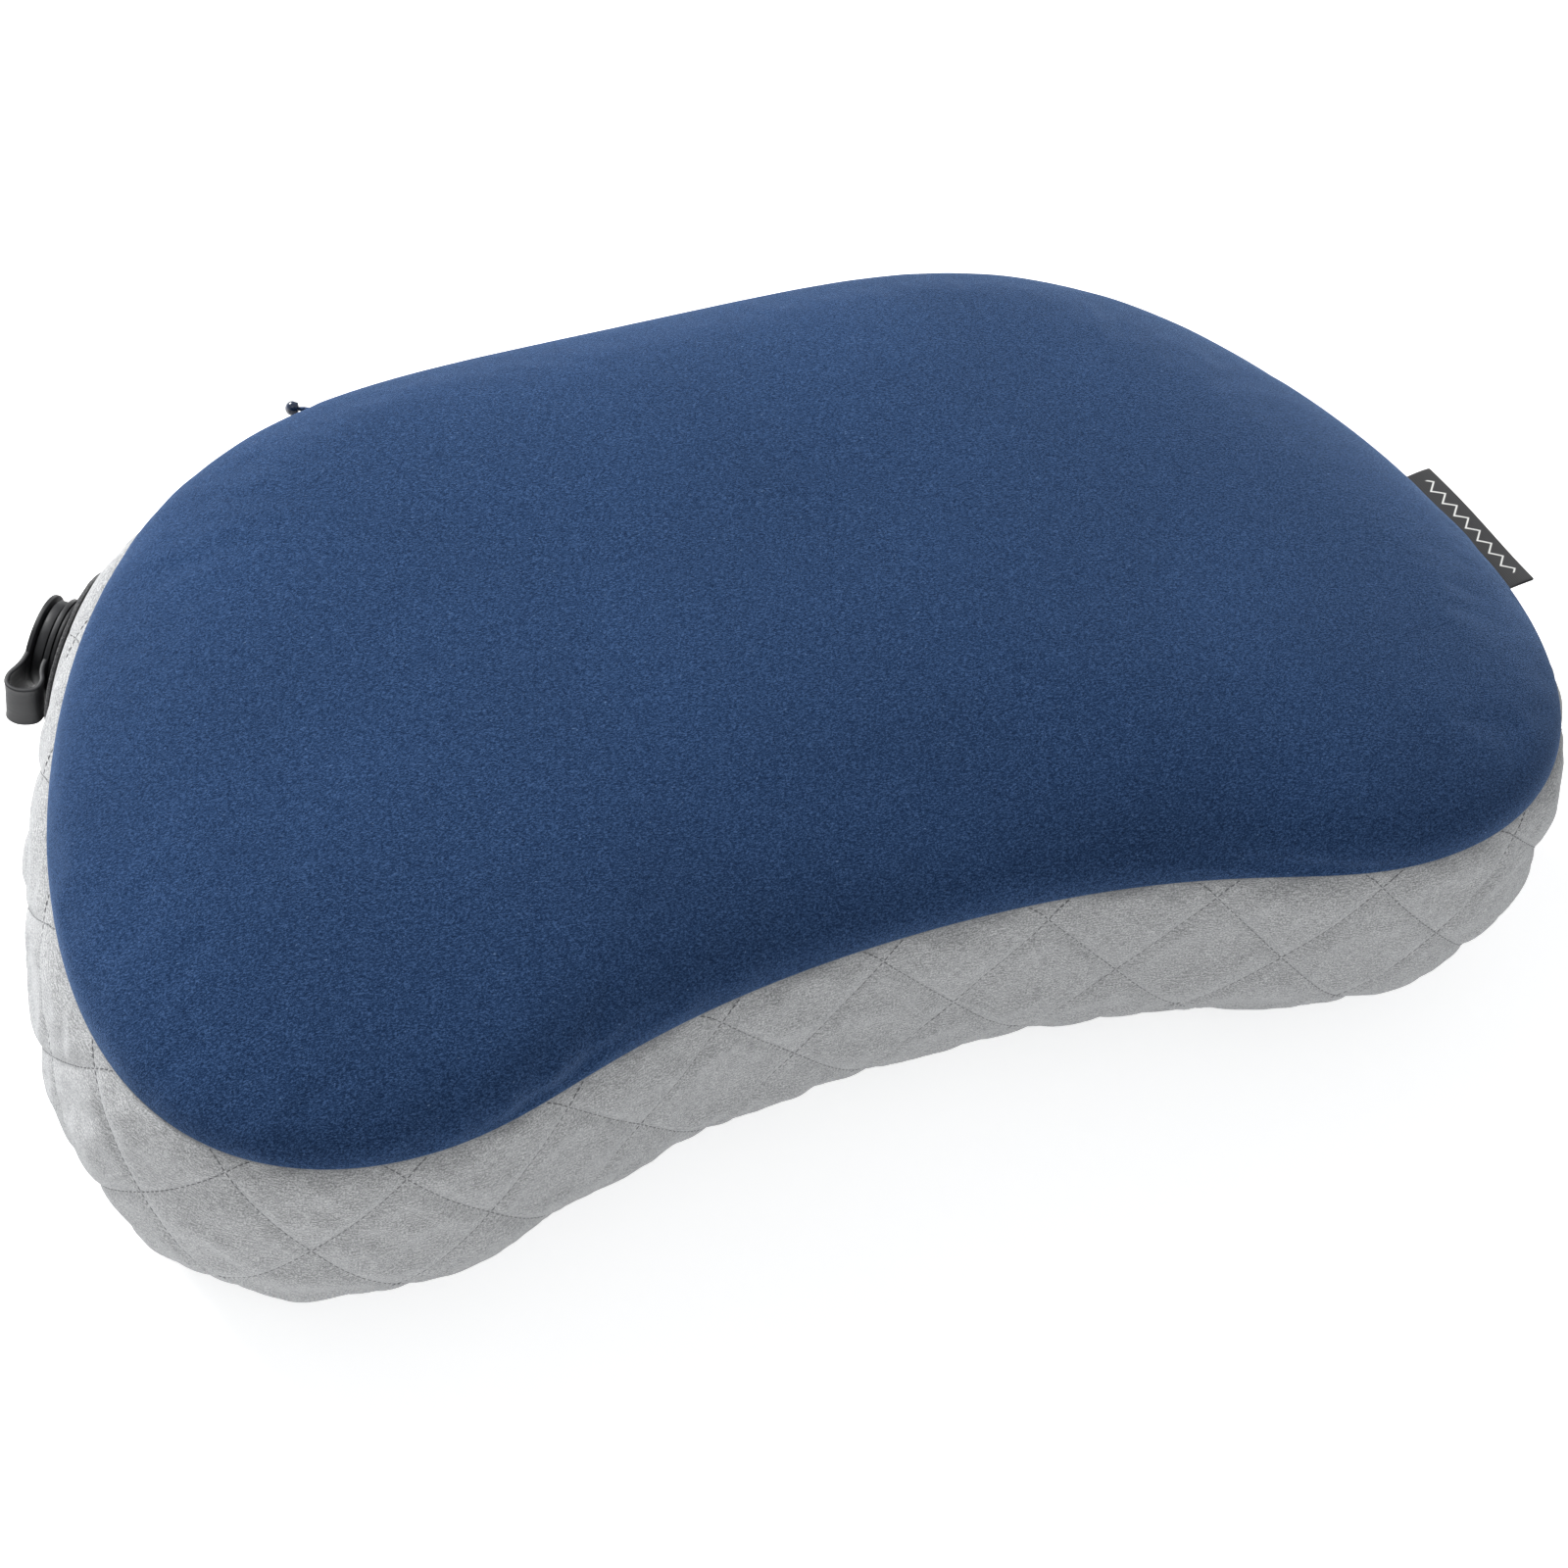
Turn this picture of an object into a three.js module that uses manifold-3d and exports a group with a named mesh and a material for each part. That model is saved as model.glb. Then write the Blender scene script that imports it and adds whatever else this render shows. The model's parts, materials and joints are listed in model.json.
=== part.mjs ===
// An inflatable camp pillow: a bean-shaped air bladder in a zipped cover with a quilted base.
// Millimetres, +Z up. The pillow rests on z = 0, its long way is X and its neck side faces -Y.
import * as THREE from "three";
import { ParametricGeometry } from "three/addons/geometries/ParametricGeometry.js";
import { mergeVertices } from "three/addons/utils/BufferGeometryUtils.js";
import Module from "manifold-3d";

const wasm = await Module();
wasm.setup();

// ---- Driving dimensions ----
const GAP = 0.3; // between pieces that touch
const LENGTH = 430; // end to end
const DEPTH = 250; // front of the lobes to the back
const CROWN_Z = 115; // top of the pillow
const SEAM_Z = 83; // height of the seam between the top panel and the quilted base
const WALL_BULGE = 6; // how far the wall stands out past the seam
const BULGE_Z = 43; // height at which the wall stands out furthest
const FOOT_INSET = 37; // from the seam line in to the flat underside
const CROWN_Y = 14; // the crown sits behind the middle, clear of the neck

// Plan of the seam line: waves added to an oval. The second wave bends it to a bean and the
// others round the lobes.
const PLAN_X_WAVES = [1, 0.107, 0, -0.033, 0.019];
const PLAN_Y_WAVES = [1, 0.39, -0.097, -0.075, -0.022];
const PLAN_STEPS = 44;

// Cloth and film
const TOP_CLOTH = 1.2;
const FACE_CLOTH = 1;
const WADDING = 4.5;
const LINING = 0.5;
const FILM = 0.6;
const EDGE_GAP = 1; // from the seam line to each panel's edge
const WADDING_DROP = 12; // the wadding and its lining stop this far below the seam
const SEAM_DEPTH = 4.4; // of the turned-in seam allowance
const SEAM_THICK = 1.4;
const WELD_WIDTH = 5; // of the bladder's flange
const ZIP_SPACE = 1.1; // between the bladder's edge and the zip slider
const TOP_SPACE = 6; // between the top panel and the bladder
const SUPER = 2.3; // roundness of the crown: 2 is an ellipse, more is squarer

// Zip, in the seam along the back
const ZIP_LENGTH = 184;
const ZIP_SLOT = 3.8; // half height of the slot that the panels leave
const ZIP_END_ROOM = 1; // the slot runs this far past each end of the zip
const TAPE_HEIGHT = 6.5;
const TAPE_THICK = 0.6;
const TAPE_INSET = 4.2; // behind the seam line at the zip's ends
const COIL_INNER = 0.5; // half the space between the two coils
const COIL_HEIGHT = 1.1;
const COIL_THICK = 1.2;
const STOP_LENGTH = 3;
const SLIDER = { length: 9, plate: 0.9, room: 0.8 };
const POST = { length: 3, ahead: 2, room: 0.25 };
const BRIDGE = { length: 5, reach: 2.4, height: 2.2, eyeLength: 2, eye: 1.5 };
const PULL = { reach: 13, cord: 0.7, pin: 0.5, arm: 4, wire: 0.8, width: 1, lean: 23 };
const BEAD = { long: 3.6, deep: 3.8, tall: 4.6 };

// Woven label, folded and caught in the seam
const LABEL = { length: 47, reach: 10.5, tuck: 1.2, ply: 0.4, fold: 0.2, at: 70.5 };

// Valve, in the wall at the left end
const VALVE_AT = 313; // degrees round the plan from the middle of the back
const VALVE_Z = 52;
const VALVE_TURNS = 28;
const RUN = 0.6; // clearance round each stopper
const COLLAR = { bore: 11.2, wall: 1.6, fillet: 0.8, lip: 0.5, lipHeight: 0.9, top: 2.9 };
const FLANGE = { width: 4.2, thick: 0.8 };
const FACING = { width: 9.1, cloth: 0.8 };
const PLUG = { overhang: 0.3, lipThick: 1.4, step: 1.4, bodyThick: 3.6, stem: 3.8, bore: 5.2 };
const WEB = { thick: 0.8, spoke: 1.4, hubWall: 0.9, bury: 0.2 };
const TAB = { reach: 7.4, width: 9, thick: 1.2, droop: 10, bury: 2 };
const FLAP = { overlap: 1.8, thick: 0.6, stem: 1, barb: 0.5, bulbThick: 0.8, travel: 1.2 };
const CAP = { overhang: 1, thick: 1.6, edge: 0.5, stem: 2.9 };
const CAP_STRAP = { width: 9, thick: 1.1, reach: 8.9, rise: 2, fall: 1.7, turn: 3, lead: 2 };
const PLUG_STRAP = { width: 3, thick: 0.6, reach: 4, below: 7 };
const AIR_HOLE = 9; // radius, in the bladder under the valve

// ---- Shape of the pillow ----
const waveSum = (waves, wave, t) => waves.reduce((sum, w, k) => sum + w * wave((k + 1) * t), 0);
const rawPlan = (t) => [waveSum(PLAN_X_WAVES, Math.sin, t), waveSum(PLAN_Y_WAVES, Math.cos, t)];
const rawPoints = Array.from({ length: 720 }, (_, i) => rawPlan((i * Math.PI) / 360));
const rawX = Math.max(...rawPoints.map((p) => p[0]));
const rawFront = Math.min(...rawPoints.map((p) => p[1]));
const rawBack = Math.max(...rawPoints.map((p) => p[1]));

// A point of the seam line, t radians clockwise from the middle of the back.
function seamPoint(t) {
  const [x, y] = rawPlan(t);
  const scaleX = (LENGTH / 2 - WALL_BULGE) / rawX;
  const scaleY = (DEPTH - 2 * WALL_BULGE) / (rawBack - rawFront);
  return new THREE.Vector2(x * scaleX, (y - (rawBack + rawFront) / 2) * scaleY);
}

function seamOutward(t) {
  const step = 1e-3;
  const along = seamPoint(t + step).sub(seamPoint(t - step));
  return new THREE.Vector2(-along.y, along.x).normalize();
}

// A ring is the seam line moved out by `out`, drawn in to the crown by `scale`, at height z.
const crown = new THREE.Vector2(0, CROWN_Y);
function ringPoint(t, ring, target) {
  const p = seamPoint(t).addScaledVector(seamOutward(t), ring.out);
  p.sub(crown).multiplyScalar(ring.scale).add(crown);
  return target.set(p.x, p.y, ring.z);
}

// The quilted wall from its top edge down and in to the middle of the underside.
function baseRings(inset, edgeDrop) {
  const rings = [];
  const edgeZ = SEAM_Z - edgeDrop;
  const first = Math.acos((edgeZ - BULGE_Z) / (SEAM_Z - BULGE_Z));
  const upper = 3;
  const lower = 4;
  for (let i = 0; i < upper; i++) {
    const a = first + ((Math.PI / 2 - first) * i) / upper;
    const z = BULGE_Z + (SEAM_Z - BULGE_Z) * Math.cos(a);
    rings.push({ out: WALL_BULGE * Math.sin(a) - inset, scale: 1, z });
  }
  for (let i = 0; i <= lower; i++) {
    const a = (Math.PI / 2) * (i / lower);
    const out = (WALL_BULGE + FOOT_INSET - inset) * Math.cos(a) - FOOT_INSET;
    rings.push({ out, scale: 1, z: BULGE_Z - (BULGE_Z - inset) * Math.sin(a) });
  }
  rings.push({ out: -FOOT_INSET, scale: 0, z: inset });
  return rings;
}

// The crowned top from its edge up and in to the crown.
function topRings(inset, edgeRise) {
  const rings = [];
  const steps = 6;
  const rise = CROWN_Z - SEAM_Z - edgeRise - inset;
  for (let i = 0; i <= steps; i++) {
    const a = (Math.PI / 2) * (i / steps);
    const scale = i < steps ? Math.cos(a) ** (2 / SUPER) : 0;
    rings.push({ out: -inset, scale, z: SEAM_Z + edgeRise + rise * Math.sin(a) ** (2 / SUPER) });
  }
  return rings;
}

// ---- Making solids ----
// A section may be listed either way round: the faces are turned so that they point out.
function toSolid(geometry) {
  const bare = geometry.clone();
  bare.deleteAttribute("normal");
  bare.deleteAttribute("uv");
  const merged = mergeVertices(bare, 1e-4);
  const faces = [];
  for (let i = 0; i < merged.index.count; i += 3) {
    const [a, b, c] = [0, 1, 2].map((k) => merged.index.getX(i + k));
    if (a !== b && b !== c && c !== a) faces.push(a, b, c);
  }
  const build = (corners) =>
    new wasm.Manifold(
      new wasm.Mesh({
        numProp: 3,
        vertProperties: merged.attributes.position.array,
        triVerts: new Uint32Array(corners),
      }),
    );
  const solid = build(faces);
  return solid.volume() > 0 ? solid : build(faces.reverse());
}

function toGeometry(solid) {
  const { numProp, vertProperties, triVerts } = solid.getMesh();
  const points = new Float32Array((vertProperties.length / numProp) * 3);
  for (let i = 0; i < points.length / 3; i++) {
    points.set(vertProperties.subarray(i * numProp, i * numProp + 3), i * 3);
  }
  const geometry = new THREE.BufferGeometry();
  geometry.setAttribute("position", new THREE.BufferAttribute(points, 3));
  geometry.setIndex(new THREE.BufferAttribute(triVerts, 1));
  return geometry;
}

// A skin between two sets of rings, closed by its edge. It runs all the way round the plan.
function skin(outside, inside) {
  const rings = [...outside, ...[...inside].reverse()];
  if (outside.at(-1).scale > 0) rings.push(rings[0]);
  const last = rings.length - 1;
  const place = (u, v, target) => {
    const half = Math.PI / PLAN_STEPS;
    const t = (u < 1 ? u : 0) * 2 * Math.PI + half;
    ringPoint(t, rings[Math.round(v * last)], target);
  };
  const geometry = new ParametricGeometry(place, PLAN_STEPS, last);
  if (outside.at(-1).scale === 0) closeEdge(geometry, last);
  return toSolid(geometry);
}

// Joins the first and last rings of a skin whose other ends meet at the crown or underside.
function closeEdge(geometry, last) {
  const row = PLAN_STEPS + 1;
  const index = Array.from(geometry.index.array);
  for (let i = 0; i < PLAN_STEPS; i++) {
    const [a, b] = [last * row + i, last * row + i + 1];
    index.push(a, b, i, b, i + 1, i);
  }
  geometry.setIndex(index);
}

function box(sizeX, sizeY, sizeZ, x, y, z) {
  return toSolid(new THREE.BoxGeometry(sizeX, sizeY, sizeZ).translate(x, y, z));
}

function lathe(profile, turns = VALVE_TURNS) {
  const points = profile.map(([r, y]) => new THREE.Vector2(r, y));
  return toSolid(new THREE.LatheGeometry(points, turns));
}

const ringProfile = (inner, outer, low, high) => [
  [inner, low],
  [outer, low],
  [outer, high],
  [inner, high],
  [inner, low],
];
const discProfile = (radius, low, high) => [
  [0, low],
  [radius, low],
  [radius, high],
  [0, high],
];

const pillow = new THREE.Group();
pillow.name = "camp_pillow";

function add(parent, name, solid, color, roughness) {
  const material = new THREE.MeshStandardMaterial({ color, roughness, metalness: 0 });
  const mesh = new THREE.Mesh(toGeometry(solid), material);
  mesh.name = name;
  parent.add(mesh);
}

// ---- Places ----
const backY = seamPoint(0).y;
const zipLeft = -ZIP_LENGTH / 2;
const zipRight = ZIP_LENGTH / 2;
function backYAt(x) {
  let [low, high] = [0, Math.PI / 2];
  for (let i = 0; i < 40; i++) {
    const middle = (low + high) / 2;
    if (seamPoint(middle).x < x) low = middle;
    else high = middle;
  }
  return seamPoint(low).y;
}
const tapeFront = Math.min(backY, backYAt(zipRight)) - TAPE_INSET;
const tapeLow = SEAM_Z - COIL_INNER - TAPE_HEIGHT;
const sliderBack = tapeFront - TAPE_THICK - GAP - SLIDER.plate;

const valveT = THREE.MathUtils.degToRad(VALVE_AT);
const valveOut = seamOutward(valveT);
const wallHere = WALL_BULGE * Math.sin(Math.acos((VALVE_Z - BULGE_Z) / (SEAM_Z - BULGE_Z)));
const valveSpot = seamPoint(valveT).addScaledVector(valveOut, wallHere);
// In the valve's own frame +Y points out of the wall, +Z up and -X to the neck side.
const valveFrame = new THREE.Matrix4()
  .makeBasis(
    new THREE.Vector3(valveOut.y, -valveOut.x, 0),
    new THREE.Vector3(valveOut.x, valveOut.y, 0),
    new THREE.Vector3(0, 0, 1),
  )
  .setPosition(valveSpot.x, valveSpot.y, VALVE_Z);
const inWall = (profile) => {
  const points = profile.map(([r, y]) => new THREE.Vector2(r, y));
  return toSolid(new THREE.LatheGeometry(points, VALVE_TURNS).applyMatrix4(valveFrame));
};
const REACH = 60; // longer than any wall is thick
const boreThrough = (radius) => inWall(discProfile(radius, -REACH / 2, REACH / 2));

// ---- Cover ----
const BLUE = 0x2f4f7c;
const GREY = 0xb4b5b8;
const DARK = 0x35363a;

const zipSlot = box(ZIP_LENGTH + 2 * ZIP_END_ROOM, REACH, 2 * ZIP_SLOT, 0, backY, SEAM_Z);
const topPanel = skin(topRings(0, EDGE_GAP), topRings(TOP_CLOTH, EDGE_GAP));
add(pillow, "top_panel", topPanel.subtract(zipSlot), BLUE, 0.95);

const collarOuter = COLLAR.bore + COLLAR.wall;
const collarRadius = collarOuter + COLLAR.lip;
const flangeRadius = collarOuter + FLANGE.width;
const waddingInset = FACE_CLOTH + GAP;
const liningInset = waddingInset + WADDING + GAP;
const bladderInset = liningInset + LINING + GAP;
const quiltFace = skin(baseRings(0, EDGE_GAP), baseRings(FACE_CLOTH, EDGE_GAP));
const faceHole = collarRadius + RUN;
add(pillow, "quilt_face", quiltFace.subtract(zipSlot).subtract(boreThrough(faceHole)), GREY, 0.95);

const layer = (inset, thick) =>
  skin(baseRings(inset, WADDING_DROP), baseRings(inset + thick, WADDING_DROP));
const flangeHole = boreThrough(flangeRadius + RUN);
add(pillow, "quilt_wadding", layer(waddingInset, WADDING).subtract(flangeHole), 0xf2f2f0, 1);
add(pillow, "quilt_lining", layer(liningInset, LINING).subtract(flangeHole), 0xd8d9dc, 0.9);

// The two panels' turned-in edges, sewn together all round but for the zip.
function perimeterSeam() {
  const outer = -TOP_CLOTH - GAP;
  const inner = outer - SEAM_DEPTH;
  const low = SEAM_Z - SEAM_THICK / 2;
  const high = SEAM_Z + SEAM_THICK / 2;
  const ring = skin(
    [
      { out: inner, scale: 1, z: high },
      { out: outer, scale: 1, z: high },
    ],
    [
      { out: inner, scale: 1, z: low },
      { out: outer, scale: 1, z: low },
    ],
  );
  return ring.subtract(zipSlot);
}
add(pillow, "perimeter_seam", perimeterSeam(), BLUE, 0.95);

// A patch round the valve, lying on the wall.
function valveFacing() {
  const lying = skin(baseRings(-GAP - FACING.cloth, EDGE_GAP), baseRings(-GAP, EDGE_GAP));
  const patch = inWall(ringProfile(faceHole, faceHole + FACING.width, -REACH / 4, REACH / 4));
  return lying.intersect(patch);
}
add(pillow, "valve_facing", valveFacing(), DARK, 0.9);

// One strip folded on itself along its free edge.
function sideLabel() {
  const shape = new THREE.Shape();
  const outside = LABEL.ply + LABEL.fold / 2;
  const inside = LABEL.fold / 2;
  const foldAt = LABEL.reach - LABEL.ply;
  shape.moveTo(-LABEL.tuck, -outside);
  shape.lineTo(foldAt, -outside);
  shape.absarc(foldAt, 0, outside, -Math.PI / 2, Math.PI / 2);
  shape.lineTo(-LABEL.tuck, outside);
  shape.lineTo(-LABEL.tuck, inside);
  shape.lineTo(foldAt, inside);
  shape.absarc(foldAt, 0, inside, Math.PI / 2, -Math.PI / 2, true);
  shape.lineTo(-LABEL.tuck, -inside);
  shape.closePath();
  const strip = new THREE.ExtrudeGeometry(shape, {
    depth: LABEL.length,
    bevelEnabled: false,
    curveSegments: 6,
  });
  const t = THREE.MathUtils.degToRad(LABEL.at);
  const out = seamOutward(t);
  const spot = seamPoint(t);
  const frame = new THREE.Matrix4()
    .makeBasis(
      new THREE.Vector3(out.x, out.y, 0),
      new THREE.Vector3(0, 0, 1),
      new THREE.Vector3(out.y, -out.x, 0),
    )
    .setPosition(spot.x, spot.y, SEAM_Z);
  return toSolid(strip.translate(0, 0, -LABEL.length / 2).applyMatrix4(frame));
}
add(pillow, "side_label", sideLabel(), 0x2e2e31, 0.85);

// ---- Bladder ----
const weldZ = SEAM_Z - SEAM_THICK / 2 - GAP - FILM;
const flangeOut = sliderBack - ZIP_SPACE - backY;
// The film drops straight from the flange to below the zip, then follows the base's own curve.
function bladderBottom() {
  const shoulder = (inset, z) => ({ out: flangeOut - WELD_WIDTH - inset, scale: 1, z });
  const bowlDrop = Math.max(WADDING_DROP + FILM, SEAM_Z - tapeLow + ZIP_SPACE);
  const bowl = (inset) => baseRings(bladderInset + inset, bowlDrop);
  const outside = [
    { out: flangeOut, scale: 1, z: weldZ - GAP },
    { out: flangeOut, scale: 1, z: weldZ - GAP - FILM },
    shoulder(0, weldZ - GAP - FILM),
    shoulder(0, tapeLow),
    ...bowl(0),
  ];
  const inside = [shoulder(FILM, weldZ - GAP), shoulder(FILM, tapeLow), ...bowl(FILM)];
  return skin(outside, inside).subtract(boreThrough(AIR_HOLE));
}
function bladderTop() {
  const inset = TOP_CLOTH + TOP_SPACE;
  const start = flangeOut - WELD_WIDTH;
  const rise = (more) => {
    const rings = topRings(inset + more, 0);
    return rings.map((ring) => ({ ...ring, out: start - more, z: Math.max(ring.z, weldZ) }));
  };
  const outside = [
    { out: flangeOut, scale: 1, z: weldZ },
    { out: flangeOut, scale: 1, z: weldZ + FILM },
    { out: start, scale: 1, z: weldZ + FILM },
    ...rise(0).slice(1),
  ];
  const inside = [{ out: start - FILM, scale: 1, z: weldZ }, ...rise(FILM).slice(1)];
  return skin(outside, inside);
}
add(pillow, "bladder_bottom", bladderBottom(), 0x9aa3ad, 0.5);
add(pillow, "bladder_top", bladderTop(), 0x9aa3ad, 0.5);

// ---- Valve ----
const valve = new THREE.Group();
valve.applyMatrix4(valveFrame);
pillow.add(valve);

const flangeBottom = GAP - bladderInset;
const flangeTop = flangeBottom + FLANGE.thick;
const valveBase = lathe([
  [COLLAR.bore, flangeBottom],
  [flangeRadius, flangeBottom],
  [flangeRadius, flangeTop],
  [collarOuter + COLLAR.fillet, flangeTop],
  [collarOuter, flangeTop + COLLAR.fillet],
  [collarOuter, COLLAR.top - COLLAR.lipHeight - COLLAR.lip],
  [collarRadius, COLLAR.top - COLLAR.lipHeight],
  [collarRadius, COLLAR.top],
  [COLLAR.bore, COLLAR.top],
  [COLLAR.bore, flangeBottom],
]);
add(valve, "valve_base", valveBase, DARK, 0.6);

// The plug shuts the collar. Its lip lies on the collar's rim, with a tab to lift it by.
const plugLow = COLLAR.top + GAP;
const lipTop = plugLow + PLUG.lipThick;
const plugTop = lipTop + PLUG.bodyThick;
const stemLow = plugLow - PLUG.stem;
const lipRadius = collarRadius + PLUG.overhang;
const bodyRadius = lipRadius - PLUG.step;
const hubHole = FLAP.stem + GAP;
function plugTab() {
  const shape = new THREE.Shape();
  const half = TAB.width / 2;
  const straight = TAB.bury + TAB.reach - half;
  shape.moveTo(0, -half);
  shape.lineTo(straight, -half);
  shape.absarc(straight, 0, half, -Math.PI / 2, Math.PI / 2);
  shape.lineTo(0, half);
  shape.closePath();
  const tab = new THREE.ExtrudeGeometry(shape, {
    depth: TAB.thick,
    bevelEnabled: false,
    curveSegments: 8,
  });
  tab.rotateX(Math.PI / 2).translate(0, TAB.thick, 0);
  tab.rotateZ(THREE.MathUtils.degToRad(-TAB.droop));
  return toSolid(tab.translate(lipRadius - TAB.bury, plugLow, 0));
}
function valvePlug() {
  const stemRadius = COLLAR.bore - RUN;
  let plug = lathe([
    [PLUG.bore, stemLow],
    [stemRadius, stemLow],
    [stemRadius, plugLow],
    [lipRadius, plugLow],
    [lipRadius, lipTop],
    [bodyRadius, lipTop],
    [bodyRadius, plugTop],
    [PLUG.bore, plugTop],
    [PLUG.bore, stemLow],
  ]);
  const spokeLength = PLUG.bore - hubHole;
  for (let i = 0; i < 3; i++) {
    const spoke = new THREE.BoxGeometry(spokeLength, WEB.thick, WEB.spoke)
      .translate(hubHole + spokeLength / 2 + WEB.bury, stemLow + WEB.thick / 2, 0)
      .rotateY((i * 2 * Math.PI) / 3);
    plug = plug.add(toSolid(spoke));
  }
  const hub = lathe(ringProfile(hubHole, hubHole + WEB.hubWall, stemLow, stemLow + WEB.thick), 18);
  return plug.add(hub).add(plugTab());
}
add(valve, "valve_plug", valvePlug(), DARK, 0.6);

// The flap shuts the plug's bore from inside; its stem holds it to the plug's web.
const flapTop = stemLow - GAP;
const bulbLow = stemLow + WEB.thick + FLAP.travel + GAP;
const flapRadius = PLUG.bore + FLAP.overlap;
const valveFlap = lathe(
  [
    [0, flapTop - FLAP.thick],
    [flapRadius, flapTop - FLAP.thick],
    [flapRadius, flapTop],
    [FLAP.stem, flapTop],
    [FLAP.stem, bulbLow],
    [hubHole + FLAP.barb, bulbLow],
    [FLAP.stem, bulbLow + FLAP.bulbThick],
    [0, bulbLow + FLAP.bulbThick],
  ],
  24,
);
add(valve, "valve_flap", valveFlap, 0x8c8f94, 0.5);

const capLow = plugTop + GAP;
const capTop = capLow + CAP.thick;
const capRadius = bodyRadius + CAP.overhang;
function valveCap() {
  const stemRadius = PLUG.bore - RUN;
  return lathe([
    [0, capLow - CAP.stem],
    [stemRadius, capLow - CAP.stem],
    [stemRadius, capLow],
    [capRadius, capLow],
    [capRadius, capTop - CAP.edge],
    [capRadius - CAP.edge, capTop],
    [0, capTop],
  ]);
}
add(valve, "valve_cap", valveCap(), DARK, 0.55);

// A flat moulded strap bent through the given points, its width along the valve's Z.
function strap(points, width, thick) {
  const curve = new THREE.CatmullRomCurve3(points.map(([x, y]) => new THREE.Vector3(x, y, 0)));
  const steps = 18;
  const sides = [-1, 1].map((side) =>
    Array.from({ length: steps + 1 }, (_, i) => {
      const p = curve.getPointAt(i / steps);
      const d = curve.getTangentAt(i / steps);
      const half = (side * thick) / 2;
      return new THREE.Vector2(p.x - d.y * half, p.y + d.x * half);
    }),
  );
  const outline = new THREE.Shape([...sides[0], ...sides[1].reverse()]);
  const band = new THREE.ExtrudeGeometry(outline, { depth: width, bevelEnabled: false });
  return toSolid(band.translate(0, 0, -width / 2));
}

// The cap's strap is a wide loop on the neck side, from the cap round to the plug's lip.
function capTether() {
  const capEnd = -(capRadius + 2 * GAP);
  const lipEnd = -(lipRadius + 2 * GAP);
  const capY = capLow + CAP.thick / 2;
  const lipY = plugLow + PLUG.lipThick / 2;
  const tip = -(lipRadius + CAP_STRAP.reach);
  return strap(
    [
      [capEnd, capY],
      [capEnd - CAP_STRAP.lead, capY + CAP_STRAP.rise / 2],
      [tip + CAP_STRAP.turn, capY + CAP_STRAP.rise],
      [tip, capY],
      [tip, lipY],
      [tip + CAP_STRAP.turn, lipY - CAP_STRAP.fall],
      [lipEnd - CAP_STRAP.lead, lipY - CAP_STRAP.fall / 2],
      [lipEnd, lipY],
    ],
    CAP_STRAP.width,
    CAP_STRAP.thick,
  );
}
// The plug's strap is a narrow hairpin below that loop, from the collar's lip up to the plug's.
function plugTether() {
  const inner = PLUG_STRAP.below - PLUG_STRAP.width / 2;
  const rimX = (radius) => -(Math.sqrt(radius ** 2 - inner ** 2) + 2 * GAP);
  const low = COLLAR.top - COLLAR.lipHeight / 2;
  const high = plugLow + PLUG.lipThick / 2;
  const turn = (high - low) / 2;
  const tip = rimX(lipRadius) - PLUG_STRAP.reach;
  const hairpin = [
    [rimX(collarRadius), low],
    [tip + turn, low],
    [tip, low + turn],
    [tip + turn, high],
    [rimX(lipRadius), high],
  ];
  const band = strap(hairpin, PLUG_STRAP.width, PLUG_STRAP.thick);
  return band.translate([0, 0, -PLUG_STRAP.below]);
}
add(valve, "cap_tether", capTether(), DARK, 0.55);
add(valve, "plug_tether", plugTether(), DARK, 0.55);

// ---- Zip ----
const BOTH = [
  ["upper", 1],
  ["lower", -1],
];
const coilFront = tapeFront + GAP + COIL_THICK;
for (const [name, side] of BOTH) {
  const tapeZ = SEAM_Z + side * (COIL_INNER + TAPE_HEIGHT / 2);
  const tape = box(ZIP_LENGTH, TAPE_THICK, TAPE_HEIGHT, 0, tapeFront - TAPE_THICK / 2, tapeZ);
  add(pillow, "zip_tape_" + name, tape, BLUE, 0.9);
  const coilZ = SEAM_Z + side * (COIL_INNER + COIL_HEIGHT / 2);
  const coilLength = ZIP_LENGTH - 2 * (STOP_LENGTH + GAP);
  const coil = box(coilLength, COIL_THICK, COIL_HEIGHT, 0, coilFront - COIL_THICK / 2, coilZ);
  add(pillow, "zip_coil_" + name, coil, 0x24406a, 0.5);
}
const stopHeight = 2 * (COIL_INNER + COIL_HEIGHT);
for (const [name, x] of [
  ["closed", zipLeft + STOP_LENGTH / 2],
  ["open", zipRight - STOP_LENGTH / 2],
]) {
  const stop = box(STOP_LENGTH, COIL_THICK, stopHeight, x, coilFront - COIL_THICK / 2, SEAM_Z);
  add(pillow, "zip_stop_" + name, stop, 0x24406a, 0.5);
}

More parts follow.
